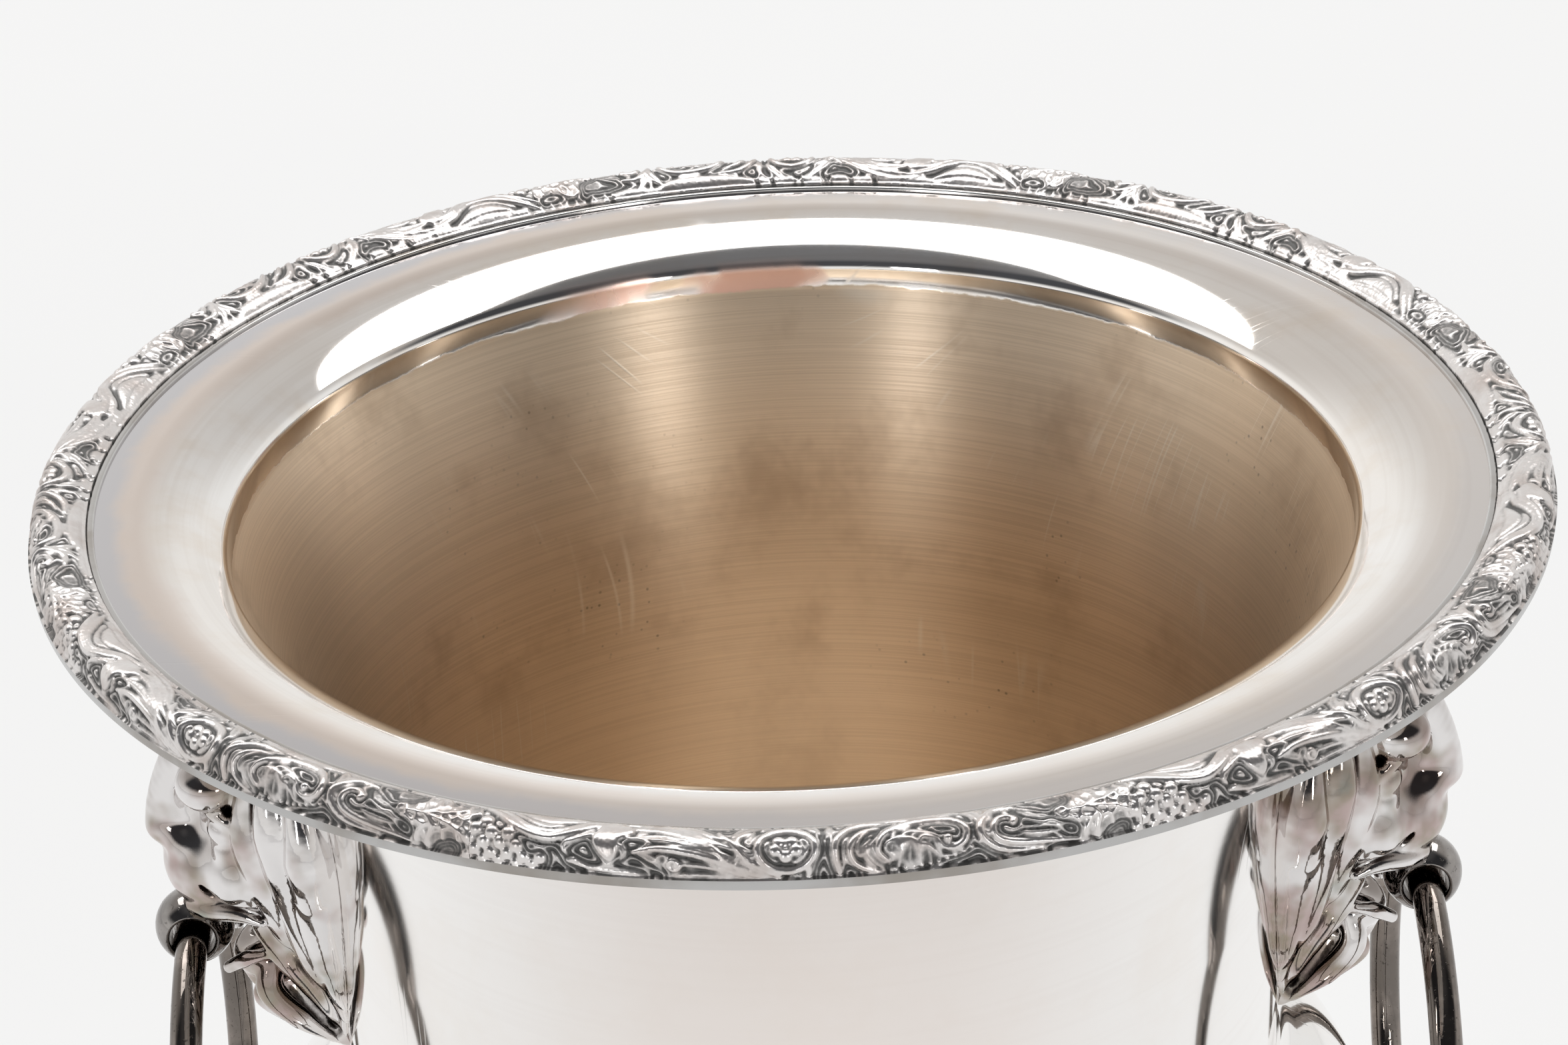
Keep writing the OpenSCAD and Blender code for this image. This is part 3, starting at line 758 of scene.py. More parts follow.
def stem(r):
    """The vine's stem: two ridges that dip between the leaf and the frond, with a leaf inside the bend."""
    for k, (v_shift, height) in enumerate(((0.0, 0.93), (-1.15, 0.8))):
        r.ridge([(23.6, -3.0 + v_shift), (25.4, -1.0 + v_shift), (27.4, 1.5 + v_shift), (29.2, 2.2 + v_shift),
                 (30.8, 0.6 + v_shift), (32.0, -1.0 + v_shift), (34.0, -1.9 + v_shift)], 0.58, height, (0.5, 0.6))
    r.plateau([(25.4, -4.1), (27.4, -4.7), (30.0, -4.75), (32.4, -4.4), (31.4, -2.8), (29.3, -0.7), (27.4, -1.4)],
              0.74, 1.1)
    r.cut([(26.6, -3.4), (29.0, -3.1), (31.6, -3.9)], 0.35, 0.3)
    r.ridge([(30.2, 3.0), (31.0, 1.9), (32.2, 0.4)], 0.42, 0.7, (0.4, 0.8))
    r.ridge([(30.5, 4.6), (30.2, 3.2), (30.7, 1.9)], 0.4, 0.7, (0.4, 0.6))


def frond(r):
    """An acanthus frond that rolls over at its start and sweeps down in long parallel leaves."""
    r.plateau([(32.4, -1.4), (34.2, -2.1), (34.9, -0.4), (34.0, 1.6), (33.9, 3.9), (33.3, 5.3), (32.4, 3.6),
               (32.0, 1.4)], 0.82, 0.8)
    r.leaf([(33.0, -3.2), (35.5, -3.4), (38.5, -2.0), (41.6, 1.6)], 1.15, 0.94, 7)
    r.leaf([(33.8, -1.2), (36.5, -1.6), (39.4, 0.4), (42.4, 3.6)], 1.05, 0.9, 7)
    r.leaf([(34.4, 0.9), (36.8, 0.6), (39.6, 2.2), (43.0, 5.4)], 1.0, 0.86, 7)
    r.ridge([(34.9, 3.4), (36.6, 2.6), (38.6, 3.1), (41.0, 4.5), (43.9, 6.6)], 0.55, 0.8, (0.6, 0.4))
    r.leaf([(34.0, 2.2), (34.3, 3.6), (34.0, 5.0)], 0.7, 0.74, 0)
    r.leaf([(35.4, 3.6), (36.4, 4.6), (36.9, 6.2)], 0.75, 0.72, 0)
    spiral = [(37.6 + 0.5 * (1 - k / 16) * math.cos(k * 0.62), 4.9 + 1.1 * (1 - k / 16) * math.sin(k * 0.62))
              for k in range(14)]
    r.ridge(spiral, 0.34, 0.78, (0.8, 0.6))
    r.ridge([(38.1, 4.9), (39.8, 5.2), (42.0, 6.2)], 0.4, 0.66, (0.8, 0.3))
    r.ridge([(30.6, 5.4), (32.4, 6.3), (34.6, 6.6), (36.0, 6.8)], 0.42, 0.72, (0.9, 0.4))
    r.ridge([(37.2, 6.7), (39.5, 6.5), (42.5, 6.8)], 0.4, 0.66, (0.6, 0.4))
    r.ball(38.4, 6.4, 0.5, 0.8)
    r.ball(31.0, 5.2, 0.55, 0.85)


def inner_edge(r):
    """A smooth rolled edge along the step, notched where leaves end, and calm behind the shell."""
    whole = [(u, -4.35 + 0.18 * math.cos(u * 1.7)) for u in np.linspace(0, SPAN, 40)]
    r.ridge(whole, 0.75, 0.72, (1, 1))
    r.plateau([(2.6, -4.6), (7.0, -4.7), (12.2, -4.7), (11.4, -2.6), (8.6, -2.2), (5.8, -2.5), (3.6, -3.4)],
              0.8, 1.0)
    r.leaf([(-3.6, -0.2), (-2.6, -2.2), (-1.2, -4.2)], 0.95, 0.8, 0)
    r.leaf([(2.2, -0.6), (1.4, -2.6), (0.2, -4.4)], 0.9, 0.8, 0)
    r.leaf([(2.6, 0.6), (2.9, -2.0), (2.2, -4.4)], 0.7, 0.72, 0)
    for u in (-3.0, -0.8, 1.8, 3.2, 17.0, 19.2, 34.7, 37.3, 39.5, 41.5):
        r.cut([(u - 0.25, -5.0), (u + 0.2, -3.0)], 0.55, 0.75)


def left_sweep(r):
    """The ends of the frond's leaves that run in under the rosette."""
    r.ridge([(-4.6, -1.0), (-3.5, 1.6), (-2.5, 4.3), (-1.1, 5.9), (-0.5, 6.8)], 0.5, 0.88, (0.6, 0.6))
    r.ridge([(-5.0, 1.8), (-3.9, 4.2), (-2.5, 6.0), (-1.2, 6.9)], 0.48, 0.8, (0.6, 0.4))
    r.ridge([(-2.1, -1.2), (-3.1, 0.0), (-3.2, 1.6), (-2.4, 2.8)], 0.42, 0.78, (0.5, 0.5))
    r.ridge([(-4.6, 4.6), (-3.4, 6.0), (-2.2, 6.9)], 0.42, 0.7, (0.6, 0.4))
    r.ball(-2.55, 0.6, 0.5, 0.6)


MOTIFS = (inner_edge, left_sweep, frond, vine_leaf, stem, grapes, leaf_tips, second_scroll, side_scrolls, shell,
          rosette)


def vine_relief():
    """One casting's ornament: the motifs, the ridges that fill the ground, and a faint grain over all."""
    r = Relief(V_INNER, V_OUTER)
    r.hatch(0, SPAN, -2.0, 6.9)
    for motif in MOTIFS:
        motif(r)
    grain = softened(np.random.default_rng(11).normal(size=r.height.shape), 3)
    main = softened(r.height, 3) * 1.04
    r.height = np.clip(np.maximum(main, tendrils(r.height)) + 0.012 * grain / grain.std(), 0, 1)
    return r


def tendrils(height):
    """Low ridges that fill the ground, each following the shapes beside it as growth rings do."""
    near = np.sqrt(-np.log(np.clip(softened(height, 60), 0.02, 1)))
    waves = 0.5 - 0.5 * np.cos(near * TAU * 3.4)
    return softened(0.02 + 0.62 * waves, 2)


def softened(height, times):
    """The height with its edges rounded as a casting's are."""
    for _ in range(times):
        padded = np.concatenate([height[:, :1], height, height[:, -1:]], 1)
        height = (height * 2 + np.roll(height, 1, 0) + np.roll(height, -1, 0) + padded[:, 2:] + padded[:, :-2]) / 6
    return height


def resampled(line, share):
    """Points of a line at these shares of its count."""
    return np.stack([np.interp(share, np.linspace(0, 1, len(line)), line[:, k]) for k in (0, 1)], 1)


def casting_section(r):
    """The top of every cross section of the relief, the seat under it, and how bare each point of it is."""
    sx, sz, along = border_section()
    seat = joined(arc(BORDER_CX, BORDER_CZ, EDGE_R, 20, 90, 40), [[FLARE_R, BORDER_CZ + EDGE_R]])
    v_low = along[np.argmax(sx > FLARE_R)]
    v_high = along[np.argmax((along > 0) & (sz < LIP_TOP))]
    place = np.interp(r.v, [V_INNER, 0, V_OUTER], [v_low, 0, v_high])
    base = np.stack([np.interp(place, along, sx), np.interp(place, along, sz)], 1)
    tangent = np.gradient(base, axis=0)
    normal = np.stack([-tangent[:, 1], tangent[:, 0]], 1) / np.linalg.norm(tangent, axis=1)[:, None]
    near = resampled(seat, np.linspace(0, 1, 400))
    room = np.min(np.hypot(base[:, None, 0] - near[None, :, 0], base[:, None, 1] - near[None, :, 1]), 1)
    depth = np.clip(room - 0.08, 0.02, RELIEF)
    ends = np.minimum(1, np.minimum(r.v - V_INNER, V_OUTER - r.v) / 0.25)[None, :]
    sunk = (1 - r.height) * ends * depth[None, :]
    sunk = np.concatenate([sunk, sunk[:1]])
    level = np.concatenate([r.height, r.height[:1]]) * np.clip(depth / RELIEF, 0.4, 1)[None, :]
    top = base[None] - normal[None] * sunk[:, :, None]
    return top, resampled(seat, np.linspace(1, 0, r.rows)), level


def make_border():
    """Eight castings end to end, each with the whole pattern, starting wherever its own end falls in it."""
    r = vine_relief()
    top, under, level = casting_section(r)
    columns = r.columns + 1
    look = cast_silver("oxidised_cast_silver", rgb(0.78, 0.75, 0.735), rgb(0.58, 0.52, 0.49),
                       rgb(0.17, 0.167, 0.163), 0.22, 0.72, 0.30)
    k = np.arange(r.rows - 1)
    cap = np.stack([k, k + 1, 2 * r.rows - 2 - k, 2 * r.rows - 1 - k], 1)
    faces = np.concatenate([grid_faces(columns, 2 * r.rows, False, True), cap[:, ::-1],
                            cap + (columns - 1) * 2 * r.rows])
    for i in range(CASTINGS):
        start = -90 + SPAN * (i + 0.5)
        shift = int(round(((start - ROSETTE_AT) % SPAN) / SPAN * r.columns))
        order = (np.arange(columns) + shift) % r.columns
        angle = np.radians(start + np.arange(columns) / r.columns * SPAN)[:, None]
        ring = np.concatenate([top[order], np.broadcast_to(under[::-1], (columns, r.rows, 2))], 1)
        points = np.stack([ring[:, :, 0] * np.cos(angle), ring[:, :, 0] * np.sin(angle), ring[:, :, 1] + RIM_Z], 2)
        relief = np.concatenate([level[order], np.zeros((columns, r.rows))], 1)
        piece = mesh_piece(f"vine_border_{i + 1}", points.reshape(-1, 3), faces, look,
                           "bucket", 80, {"relief": relief})
        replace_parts(piece, f"rim_border_{i + 1}")


# ---------------------------------------------------------------- cast lion masks
MASK_LOW, MASK_HIGH, MASK_PITCH = (84, 0, -124), (124.4, 29.2, -22), 0.4
NECK_POINTS = 76                            # points of the bowl's outer face from the crease to the cove
BOSS_PLAY, WALL_SINK = 0.15, 0.1            # room round the ball, and how far the back sinks into the wall
NEAR, FAR = 1.0, 2.6                        # how far out a point looks for other metal, for its hollow


class Clay:
    """A solid built up on a grid of distances: x out from the axis, y to the side, z up from the rim plane.
    Only y >= 0 is worked, and the other half mirrors it."""

    def __init__(self, low, high, pitch):
        self.pitch = pitch
        self.low = np.array(low, float)
        counts = [int(round((h - l) / pitch)) + 1 for l, h in zip(low, high)]
        self.axes = [l + pitch * np.arange(n) for l, n in zip(low, counts)]
        self.d = np.full(counts, 50.0)

    def window(self, points, reach):
        """The part of the grid within reach of the points."""
        points = np.atleast_2d(points)
        cut = []
        for k, axis in enumerate(self.axes):
            lo = np.searchsorted(axis, points[:, k].min() - reach)
            hi = np.searchsorted(axis, points[:, k].max() + reach)
            cut.append(slice(max(0, lo - 1), max(1, hi + 1)))
        return tuple(cut)

    def grid(self, cut):
        return np.meshgrid(*[axis[s] for axis, s in zip(self.axes, cut)], indexing="ij", sparse=True)

    def blend(self, cut, shape, soft, carve):
        """Joins a shape on, or carves it out, with a seam as wide as soft."""
        sign = -1 if carve else 1
        here = sign * self.d[cut]
        if soft:
            h = np.clip(0.5 + 0.5 * (here - shape) / soft, 0, 1)
            self.d[cut] = sign * (here * (1 - h) + shape * h - soft * h * (1 - h))
        else:
            self.d[cut] = sign * np.minimum(here, shape)

    def egg(self, centre, radii, soft=1.0, carve=False):
        """An egg with these three radii."""
        cut = self.window([centre], max(radii) + 3 * soft + 3)
        x, y, z = self.grid(cut)
        p = [(x - centre[0]), (y - centre[1]), (z - centre[2])]
        k0 = np.sqrt(sum((a / r) ** 2 for a, r in zip(p, radii)))
        k1 = np.sqrt(sum((a / r ** 2) ** 2 for a, r in zip(p, radii)))
        shape = k0 * (k0 - 1) / np.maximum(k1, 1e-9)
        self.blend(cut, shape, soft, carve)

    def rope(self, points, radii, soft=1.0, carve=False, steps=6, flat=1.0):
        """A tapered rope along a smooth line; flat under 1 thins it towards the axis."""
        line = spline(points, steps)
        radius = np.interp(np.linspace(0, 1, len(line)), np.linspace(0, 1, len(radii)), radii)
        cut = self.window(line, max(radii) + 2 * soft + 2)
        x, y, z = self.grid(cut)
        shape = np.full(np.broadcast(x, y, z).shape, 50.0)
        for a, b, ra, rb in zip(line, line[1:], radius, radius[1:]):
            d = b - a
            px, py, pz = x - a[0], y - a[1], z - a[2]
            t = np.clip((px * d[0] + py * d[1] + pz * d[2]) / (d @ d), 0, 1)
            r = ra + (rb - ra) * t
            away = np.sqrt(((px - t * d[0]) / flat) ** 2 + (py - t * d[1]) ** 2 + (pz - t * d[2]) ** 2)
            shape = np.minimum(shape, (away - r) * flat)
        self.blend(cut, shape, soft, carve)

    def stand_on(self, radius_at):
        """Cuts away all that is inside the wall."""
        x, y, z = self.grid(tuple(slice(None) for _ in self.axes))
        self.d = np.maximum(self.d, radius_at(z) - np.sqrt(x ** 2 + y ** 2))

    def rounded(self, times):
        """Rounds every edge and hollow a little, as a casting's are."""
        self.d = np.clip(self.d, -3, 3)
        for _ in range(times):
            for axis, mode in enumerate(("edge", "reflect", "edge")):
                wide = np.pad(self.d, [(int(k == axis),) * 2 for k in range(3)], mode=mode)
                before, after = [slice(None)] * 3, [slice(None)] * 3
                before[axis], after[axis] = slice(0, -2), slice(2, None)
                self.d = (wide[tuple(before)] + 2 * self.d + wide[tuple(after)]) / 4

    def both_halves(self):
        return np.concatenate([self.d[:, :0:-1], self.d], 1)


def sample(field, low, pitch, points):
    """The field's value at points, by mixing the eight grid values round each."""
    at = (points - low) / pitch
    at = np.clip(at, 0, np.array(field.shape) - 1.001)
    base = at.astype(int)
    f = at - base
    value = np.zeros(len(points))
    for corner in np.ndindex(2, 2, 2):
        weight = np.prod(np.where(corner, f, 1 - f), axis=1)
        value += weight * field[tuple((base + corner).T)]
    return value


def skin(field, low, pitch):
    """The surface where the field is zero, as quads, with its outward directions."""
    inside = field < 0
    cells = np.array(field.shape) - 1
    total = np.zeros((3, cells.prod()))
    count = np.zeros(cells.prod())
    quads = []
    for axis in range(3):
        lo, hi = [slice(None)] * 3, [slice(None)] * 3
        lo[axis], hi[axis] = slice(0, -1), slice(1, None)
        lo, hi = tuple(lo), tuple(hi)
        edges = np.argwhere(inside[lo] != inside[hi])
        a, b = field[lo][tuple(edges.T)], field[hi][tuple(edges.T)]
        place = edges.astype(float)
        place[:, axis] += a / (a - b)
        one, two = (axis + 1) % 3, (axis + 2) % 3
        around = []
        for s, t in ((0, 0), (-1, 0), (-1, -1), (0, -1)):
            cell = edges.copy()
            cell[:, one] += s
            cell[:, two] += t
            flat = np.ravel_multi_index(tuple(cell.T), cells, mode="clip")
            around.append(flat)
            count += np.bincount(flat, minlength=len(count))
            for k in range(3):
                total[k] += np.bincount(flat, place[:, k], minlength=len(count))
        quad = np.stack(around, 1)
        quads.append(np.where((a < b)[:, None], quad, quad[:, ::-1]))
    used = np.flatnonzero(count)
    index = np.zeros(len(count), int)
    index[used] = np.arange(len(used))
    points = (total[:, used] / count[used]).T * pitch + low
    directions = None
    for _ in range(2):
        step = 0.5 * pitch
        gradient = np.stack([sample(field, low, pitch, points + np.eye(3)[k] * step)
                             - sample(field, low, pitch, points - np.eye(3)[k] * step) for k in range(3)], 1)
        directions = gradient / np.maximum(np.linalg.norm(gradient, axis=1), 1e-9)[:, None]
        slope = np.maximum(np.linalg.norm(gradient, axis=1) / (2 * step), 0.3)
        move = np.clip(sample(field, low, pitch, points) / slope, -0.4 * pitch, 0.4 * pitch)
        points = points - directions * move[:, None]
    return points, index[np.concatenate(quads)], directions


def wall_radius():
    """The neck's outer radius at a height, from the crease at the mouth down to the cove."""
    outer = bowl_face(SHEET)
    crease = np.argmin(np.linalg.norm(outer - mouth_crease(SHEET), axis=1))
    radius, z = outer[crease:crease + NECK_POINTS].T
    order = np.argsort(z)
    return lambda value: np.interp(value, z[order], radius[order])


def lion_head(c):
    """Forehead, wedge-shaped nose, heavy brow, eye, cheek, muzzle over the ball, and lower jaw."""
    c.rope([(92, 0, -30), (99, 0, -41), (104.5, 0, -51), (107, 0, -60)], [6.5, 9.5, 10.5, 9.5], 0)
    c.egg((97, 0, -71), (12.0, 16.5, 18), 4)
    c.egg((107.4, 0, -77.0), (12.4, 11.6, 11.2), 4.5)
    c.rope([(104.5, 0, -49.5), (111.6, 0, -57.0), (116.6, 0, -64.6), (118.4, 0, -69.4)],
           [8.5, 7.0, 5.0, 3.9], 2.4)
    c.egg((117.4, 0, -69.4), (4.3, 5.6, 3.4), 1.8)
    c.egg((114.6, 4.6, -71.4), (3.2, 2.9, 2.6), 2.4)
    c.egg((108.2, 9.6, -55.8), (6.4, 6.6, 5.0), 1.0)
    c.egg((112.9, 6.8, -61.8), (2.8, 3.0, 4.2), 2.0, carve=True)
    c.egg((104.6, 10.8, -64.6), (4.9, 4.6, 3.9), 0.5)
    c.rope([(109.4, 7.4, -62.6), (107.8, 12.2, -60.6), (102.6, 15.8, -63.6)], [0.8, 1.5, 1.0], 0.5)
    c.rope([(109.0, 7.8, -66.4), (106.6, 12.6, -68.4), (102.2, 15.6, -66.6)], [0.7, 1.2, 0.8], 0.6)
    c.egg((102.8, 10.8, -75.0), (7.0, 6.6, 7.0), 4.0)
    c.rope([(112.4, 8.4, -76.6), (108.4, 12.6, -79.6), (103.0, 15.8, -80.2)], [0.7, 1.1, 0.8], 1.0, carve=True)
    c.rope([(114.5, 5.4, -84.6), (110.2, 10.4, -83.2), (105.0, 14.0, -81.8), (100.2, 16.6, -82.6)],
           [1.6, 1.7, 1.5, 0.7], 0.7)
    c.rope([(122, 0, -73.8), (119.4, 0, -80), (117.0, 0, -88)], [0.5, 0.6, 0.8], 1.0, carve=True)
    c.egg((101.5, 0, -97.4), (7.4, 8.6, 5.4), 1.5)
    c.egg((109.5, 0, -92.6), (11.5, 9.8, 4.4), 0.8, carve=True)
    c.rope([(108.5, 9.0, -89.2), (104.0, 13.0, -86.2), (99.6, 16.0, -86.0)], [1.4, 1.2, 0.6], 0.5, carve=True)
    c.rope([(108.8, 7.6, -97.2), (104.6, 11.2, -93.2), (100.2, 14.4, -90.4)], [1.3, 1.6, 0.8], 0.6)


def lion_beard(c):
    """Leaves that curl open towards the ball and run down to a point on the wall."""
    c.rope([(99.5, 0, -101), (96.6, 0, -109), (92.2, 0, -115.6), (88.8, 0, -121.2)], [6.4, 4.8, 3.2, 0.5], 1.2)
    c.rope([(101, 2.6, -95), (105.2, 3.4, -98.2), (104.2, 4.0, -102.4), (101.4, 4.6, -104.6)],
           [1.4, 1.7, 1.4, 0.8], 0.5)
    c.rope([(102.4, 2.4, -103.6), (103.4, 2.8, -107.2), (98.2, 3.0, -112), (91.6, 1.6, -119)],
           [1.8, 2.2, 1.8, 0.5], 0.35)
    c.rope([(101, 6.6, -97), (101.6, 8.2, -102.5), (96.6, 7.4, -109.6), (90.4, 3.4, -118)],
           [2.2, 2.5, 2.1, 0.5], 0.3)
    c.rope([(106.8, 0, -100.2), (104.6, 0, -103.2), (101.6, 0, -104.2)], [1.0, 1.2, 0.6], 0.6, carve=True)
    c.rope([(103, 5.3, -99.5), (101.8, 6.0, -105), (95.4, 5.0, -113)], [0.5, 0.6, 0.3], 0.5, carve=True)


MANE = (                                    # each lock's thickness along it, and the line that it winds round
    ([2.4, 4.4, 3.6, 2.4, 0.5],
     [(91.0, 18.8, -54), (90.6, 21.4, -66), (88.8, 19.4, -82), (87.2, 15.4, -97), (87.4, 7.6, -110)]),
    ([2.2, 4.0, 3.6, 3.0, 1.8, 0.4],
     [(96.4, 14.6, -50), (96.6, 19.2, -62), (93.4, 17.6, -77), (91.4, 15.2, -91), (88.8, 8.8, -105),
      (88.2, 3.4, -117)]),
    ([2.0, 3.4, 3.2, 2.6, 1.8, 0.4],
     [(101.4, 12.4, -54), (101.6, 16.0, -65), (97.8, 15.0, -77), (95.6, 12.8, -89), (91.4, 8.0, -102),
      (88.8, 2.6, -117)]),
    ([1.6, 2.6, 2.7, 2.1, 0.4],
     [(102.4, 14.2, -73), (101.0, 13.2, -82), (97.4, 12.4, -91), (94.4, 8.6, -102), (89.6, 3.2, -115)]))


def lion_mane(c):
    """Thick locks with round heads, each winding down beside the face to a point on the wall."""
    c.rope([(90, 14, -50), (89, 18.5, -70), (88, 15.5, -90), (87, 8, -108)], [5, 6, 5, 2.5], 1.5)
    c.rope([(91, 0, -36), (92, 8.5, -40), (93, 14.5, -50)], [5.5, 6.5, 5.5], 3.0)
    for side, top in ((3.6, -36), (7.4, -40), (11.0, -46)):
        c.rope([(96.5, 0.45 * side, top), (99.6, side, top - 7), (100.6, side + 2.6, top - 14)],
               [2.2, 3.0, 1.6], 0.4)
    for k, (thick, guide) in enumerate(MANE):
        guide = np.array(guide)
        turn = 2.4 * np.arange(len(guide)) + k
        wind = np.stack([0.6 * np.cos(turn), np.sin(turn), 0 * turn], 1)
        c.rope(guide + wind, thick, 0.1, steps=10)


def make_masks():
    """Both lions, turned half round from one another, from one modelled half."""
    c = Clay(MASK_LOW, MASK_HIGH, MASK_PITCH)
    lion_head(c)
    lion_mane(c)
    lion_beard(c)
    c.rounded(2)
    boss = BOSS_Z - RIM_Z
    c.egg((BOSS_X, 0, boss), (BOSS_R + BOSS_PLAY,) * 3, 0, carve=True)
    c.rope([(SHANK_IN, 0, boss), (BOSS_X, 0, boss)], [SHANK_R, SHANK_R], 0, carve=True, steps=2)
    outer = wall_radius()
    c.stand_on(lambda z: outer(z) - WALL_SINK)
    c.d[:, :, -1] = np.maximum(c.d[:, :, -1], 1)
    field = c.both_halves()
    low = c.low - [0, c.pitch * (c.d.shape[1] - 1), 0]
    points, faces, directions = skin(field, low, c.pitch)
    relief = sum(sample(field, low, c.pitch, points + directions * reach) / reach for reach in (NEAR, FAR))
    relief = np.clip(0.5 * relief, 0, 1)
    points = points + [0, 0, RIM_Z]
    look = mask_silver()
    for side, sign in (("left", -1), ("right", 1)):
        mask = mesh_piece("lion_" + side, points * [sign, sign, 1], faces, look, "bucket", 0,
                          {"relief": relief})
        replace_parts(mask, "lion_mask_" + side)


def torus_points(ring_r, bar_r, around, across):
    """A round bar bent into a ring, which stands in the plane of y and z."""
    a = np.arange(around)[:, None] / around * TAU
    b = np.arange(across)[None, :] / across * TAU
    reach = ring_r + bar_r * np.cos(b)
    points = np.stack([np.broadcast_to(bar_r * np.sin(b), (around, across)), reach * np.sin(a),
                       reach * np.cos(a)], 2)
    return points.reshape(-1, 3), grid_faces(around, across, True, True)[:, ::-1]


def boss_bead():
    """Half the section of a drilled ball, with a rolled lip at each end of its bore."""
    half = math.sqrt(BOSS_R ** 2 - BORE_R ** 2)
    end = math.degrees(math.atan2(half, BORE_R + BOSS_LIP))
    lip_x, lip_z, lip_r = BORE_R + BOSS_LIP * 0.7, BOSS_R * sin_d(end) - BOSS_LIP * 0.5, BOSS_LIP * 0.7
    return joined(arc(0, 0, BOSS_R, -end, end, 48), arc(lip_x, lip_z, lip_r, 80, 180, 8),
                  arc(lip_x, -lip_z, lip_r, 180, 280, 8))


def make_handles():
    """On each side a ball whose bore runs front to back, and the ring that hangs in it."""
    ring_metal = dark_silver("dark_ring_silver", rgb(0.17, 0.15, 0.135), rgb(0.36, 0.31, 0.28), 0.035)
    boss_metal = dark_silver("dark_boss_silver", rgb(0.24, 0.225, 0.215), rgb(0.46, 0.43, 0.41), 0.04)
    for side, sign in (("left", -1), ("right", 1)):
        points, faces = torus_points(RING_R, BAR_R, RING_TURNS, BAR_SIDES)
        points = points + [BOSS_X, 0, BOSS_Z - RING_PLAY - RING_R]
        ring = mesh_piece("ring_" + side + "_bar", points * [sign, sign, 1], faces, ring_metal,
                          side + "_handle_ring", 0)
        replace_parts(ring, "ring_" + side)
        points, faces = lathe(boss_bead(), BOSS_TURNS)
        points = points[:, [0, 2, 1]] * [1, -1, 1] + [BOSS_X, 0, BOSS_Z]
        boss = mesh_piece("boss_" + side, points * [sign, sign, 1], faces, boss_metal, "bucket", 50)
        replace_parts(boss, "ring_boss_" + side)


def paint_fittings():
    """The foot's fittings keep their CAD shape and get the brass look."""
    brass = brass_material()
    for name in ("foot_stud", "foot_plate", "foot_washer", "foot_nut"):
        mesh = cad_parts[name].data
        mesh.materials.clear()
        mesh.materials.append(brass)


# ---------------------------------------------------------------- studio
def make_camera():
    """The camera, at the photograph's viewing angle."""
    data = bpy.data.cameras.new("camera")
    data.lens = CAMERA_LENS
    data.sensor_width = 36.0
    data.clip_start = 0.02
    camera = bpy.data.objects.new("camera", data)
    camera.location = CAMERA_PLACE
    camera.rotation_euler = Euler([math.radians(a) for a in CAMERA_TURN])
    bpy.context.scene.collection.objects.link(camera)
    bpy.context.scene.camera = camera


def softbox(name, place, aim, width, height, power):
    """A rectangular lamp that faces its aim."""
    data = bpy.data.lights.new(name, "AREA")
    data.shape = "RECTANGLE"
    data.size, data.size_y = width, height
    data.energy = power
    light = bpy.data.objects.new(name, data)
    light.location = place
    light.rotation_euler = (Vector(aim) - Vector(place)).to_track_quat("-Z", "Y").to_euler()
    bpy.context.scene.collection.objects.link(light)


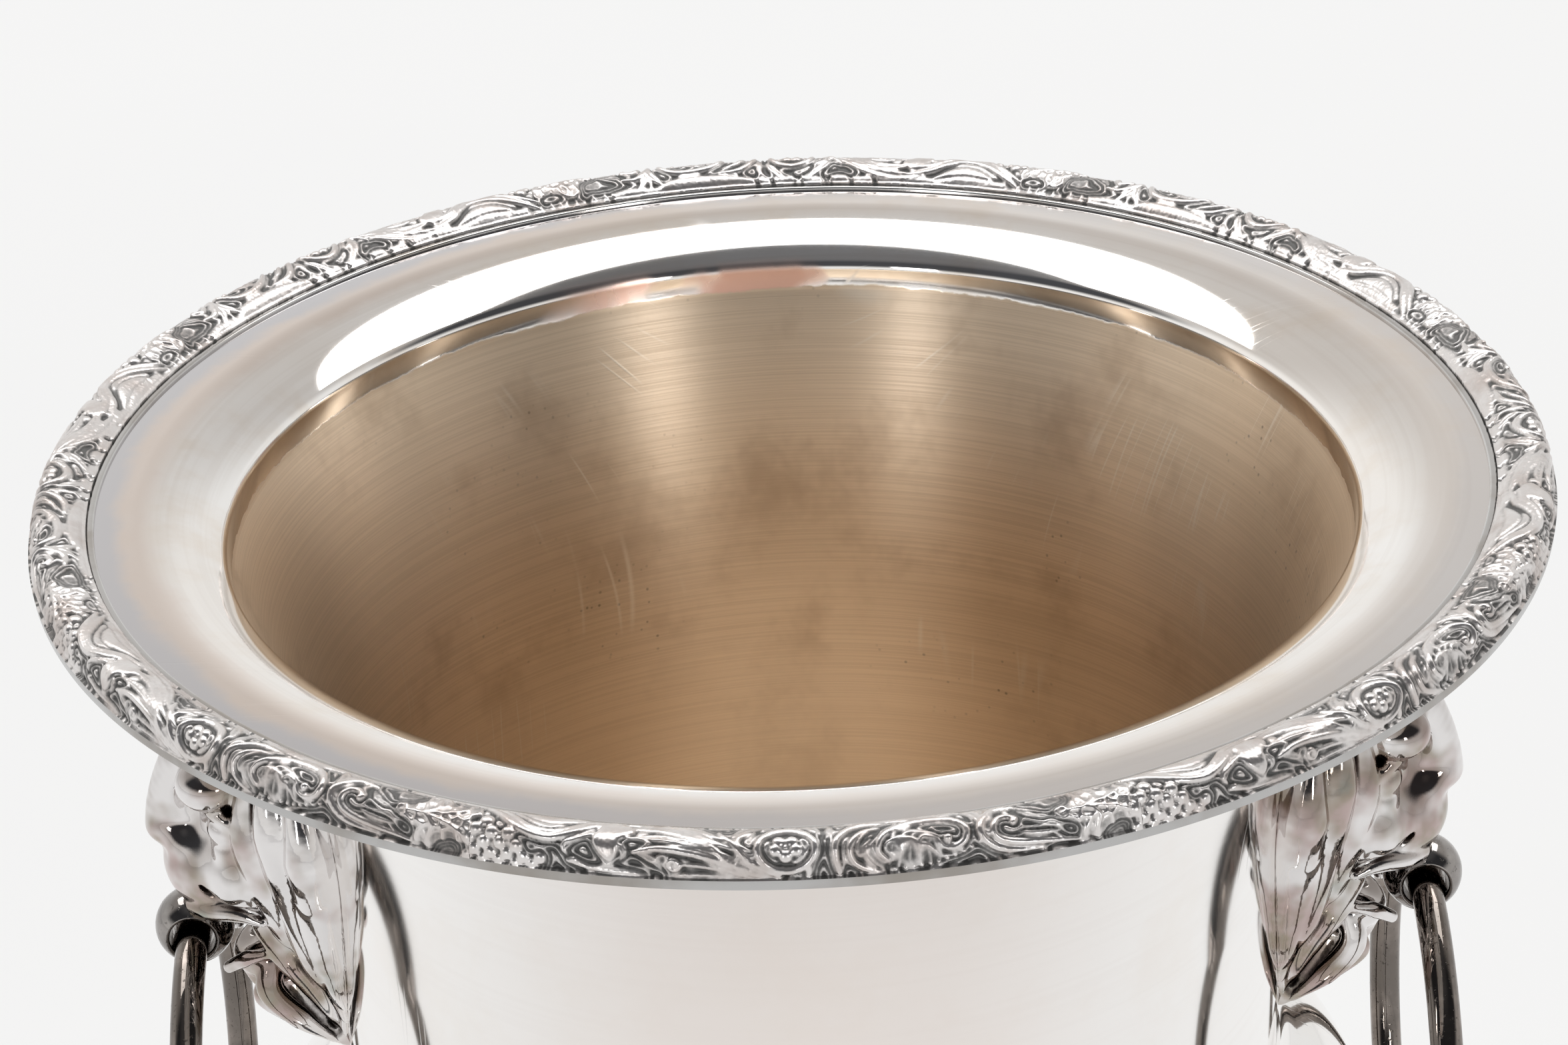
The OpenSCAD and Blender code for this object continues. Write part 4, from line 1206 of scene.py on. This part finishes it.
def make_floor():
    """A pale sheet that glows a little, so that it stays even up to its far edge."""
    material, sh = new_material("pale_floor")
    point = position(sh)
    fine = sh.noise(point, 3.0, 2.0)
    tone = sh.mix(fine, rgb(0.93, 0.93, 0.925), rgb(0.95, 0.95, 0.945))
    away = numbers(sh, point)[1]
    glow = sh.node("Emission", {"Color": tone, "Strength": sh.steps(away, 0.2, 1.6, 0.645, 0.72)})
    paper = sh.node("BsdfDiffuse", {"Color": sh.mix(fine, rgb(0.30, 0.30, 0.30), rgb(0.32, 0.32, 0.32))})
    both = sh.node("AddShader", {0: glow.outputs[0], 1: paper.outputs[0]})
    sh.node("OutputMaterial", {"Surface": both.outputs[0]})
    half, cells = 5.0, 24
    axis = np.linspace(-half, half, cells + 1)
    xs, ys = np.meshgrid(axis, axis, indexing="ij")
    mesh = bpy.data.meshes.new("floor")
    points = np.stack([xs, ys, np.zeros_like(xs)], 2).reshape(-1, 3)
    mesh.from_pydata(points.tolist(), [], grid_faces(cells + 1, cells + 1, False, False).tolist())
    mesh.materials.append(material)
    floor = bpy.data.objects.new("floor", mesh)
    bpy.context.scene.collection.objects.link(floor)


def make_world():
    """White near the floor, a warm grey backdrop behind, and a dark steel-grey room over the camera's side."""
    world = bpy.data.worlds.new("studio")
    world.use_nodes = True
    bpy.context.scene.world = world
    sh = Shader(world.node_tree)
    x, y, z = numbers(sh, sh.node("TexCoord").outputs["Generated"])
    front = sh.steps(y, -0.15, 0.20, 1.0, 0.0)
    back_tone = sh.mix(sh.steps(z, 0.25, 0.62), rgb(0.92, 0.92, 0.91), rgb(0.60, 0.58, 0.56))
    front_tone = sh.mix(sh.steps(z, 0.16, 0.46), rgb(0.90, 0.90, 0.89), rgb(0.06, 0.062, 0.068))
    tone = sh.mix(front, back_tone, front_tone)
    tone = sh.mix(sh.steps(z, 0.75, 0.98), tone, rgb(0.16, 0.16, 0.165))
    glow = sh.node("Background", {"Color": tone, "Strength": sh.steps(x, -0.5, 0.6, 1.04, 0.90)})
    sh.node("OutputWorld", {"Surface": glow.outputs[0]})


def make_lights():
    """A long overhead light behind, and a narrow one on each side for the streaks at the mouth."""
    middle = (0, 0, 0.2)
    softbox("overhead_back", (0, 0.62, 1.75), middle, 2.7, 0.95, 26.0)
    softbox("left_front", (-0.70, -1.26, 0.72), middle, 0.24, 0.34, 1.35)
    softbox("right_front", (0.70, -1.26, 0.72), middle, 0.24, 0.34, 2.2)


bpy.context.scene.view_settings.view_transform = "Standard"
make_camera()
make_world()
make_lights()
make_floor()
make_bowl()
make_rim_wires()
make_foot()
make_border()
make_masks()
make_handles()
paint_fittings()
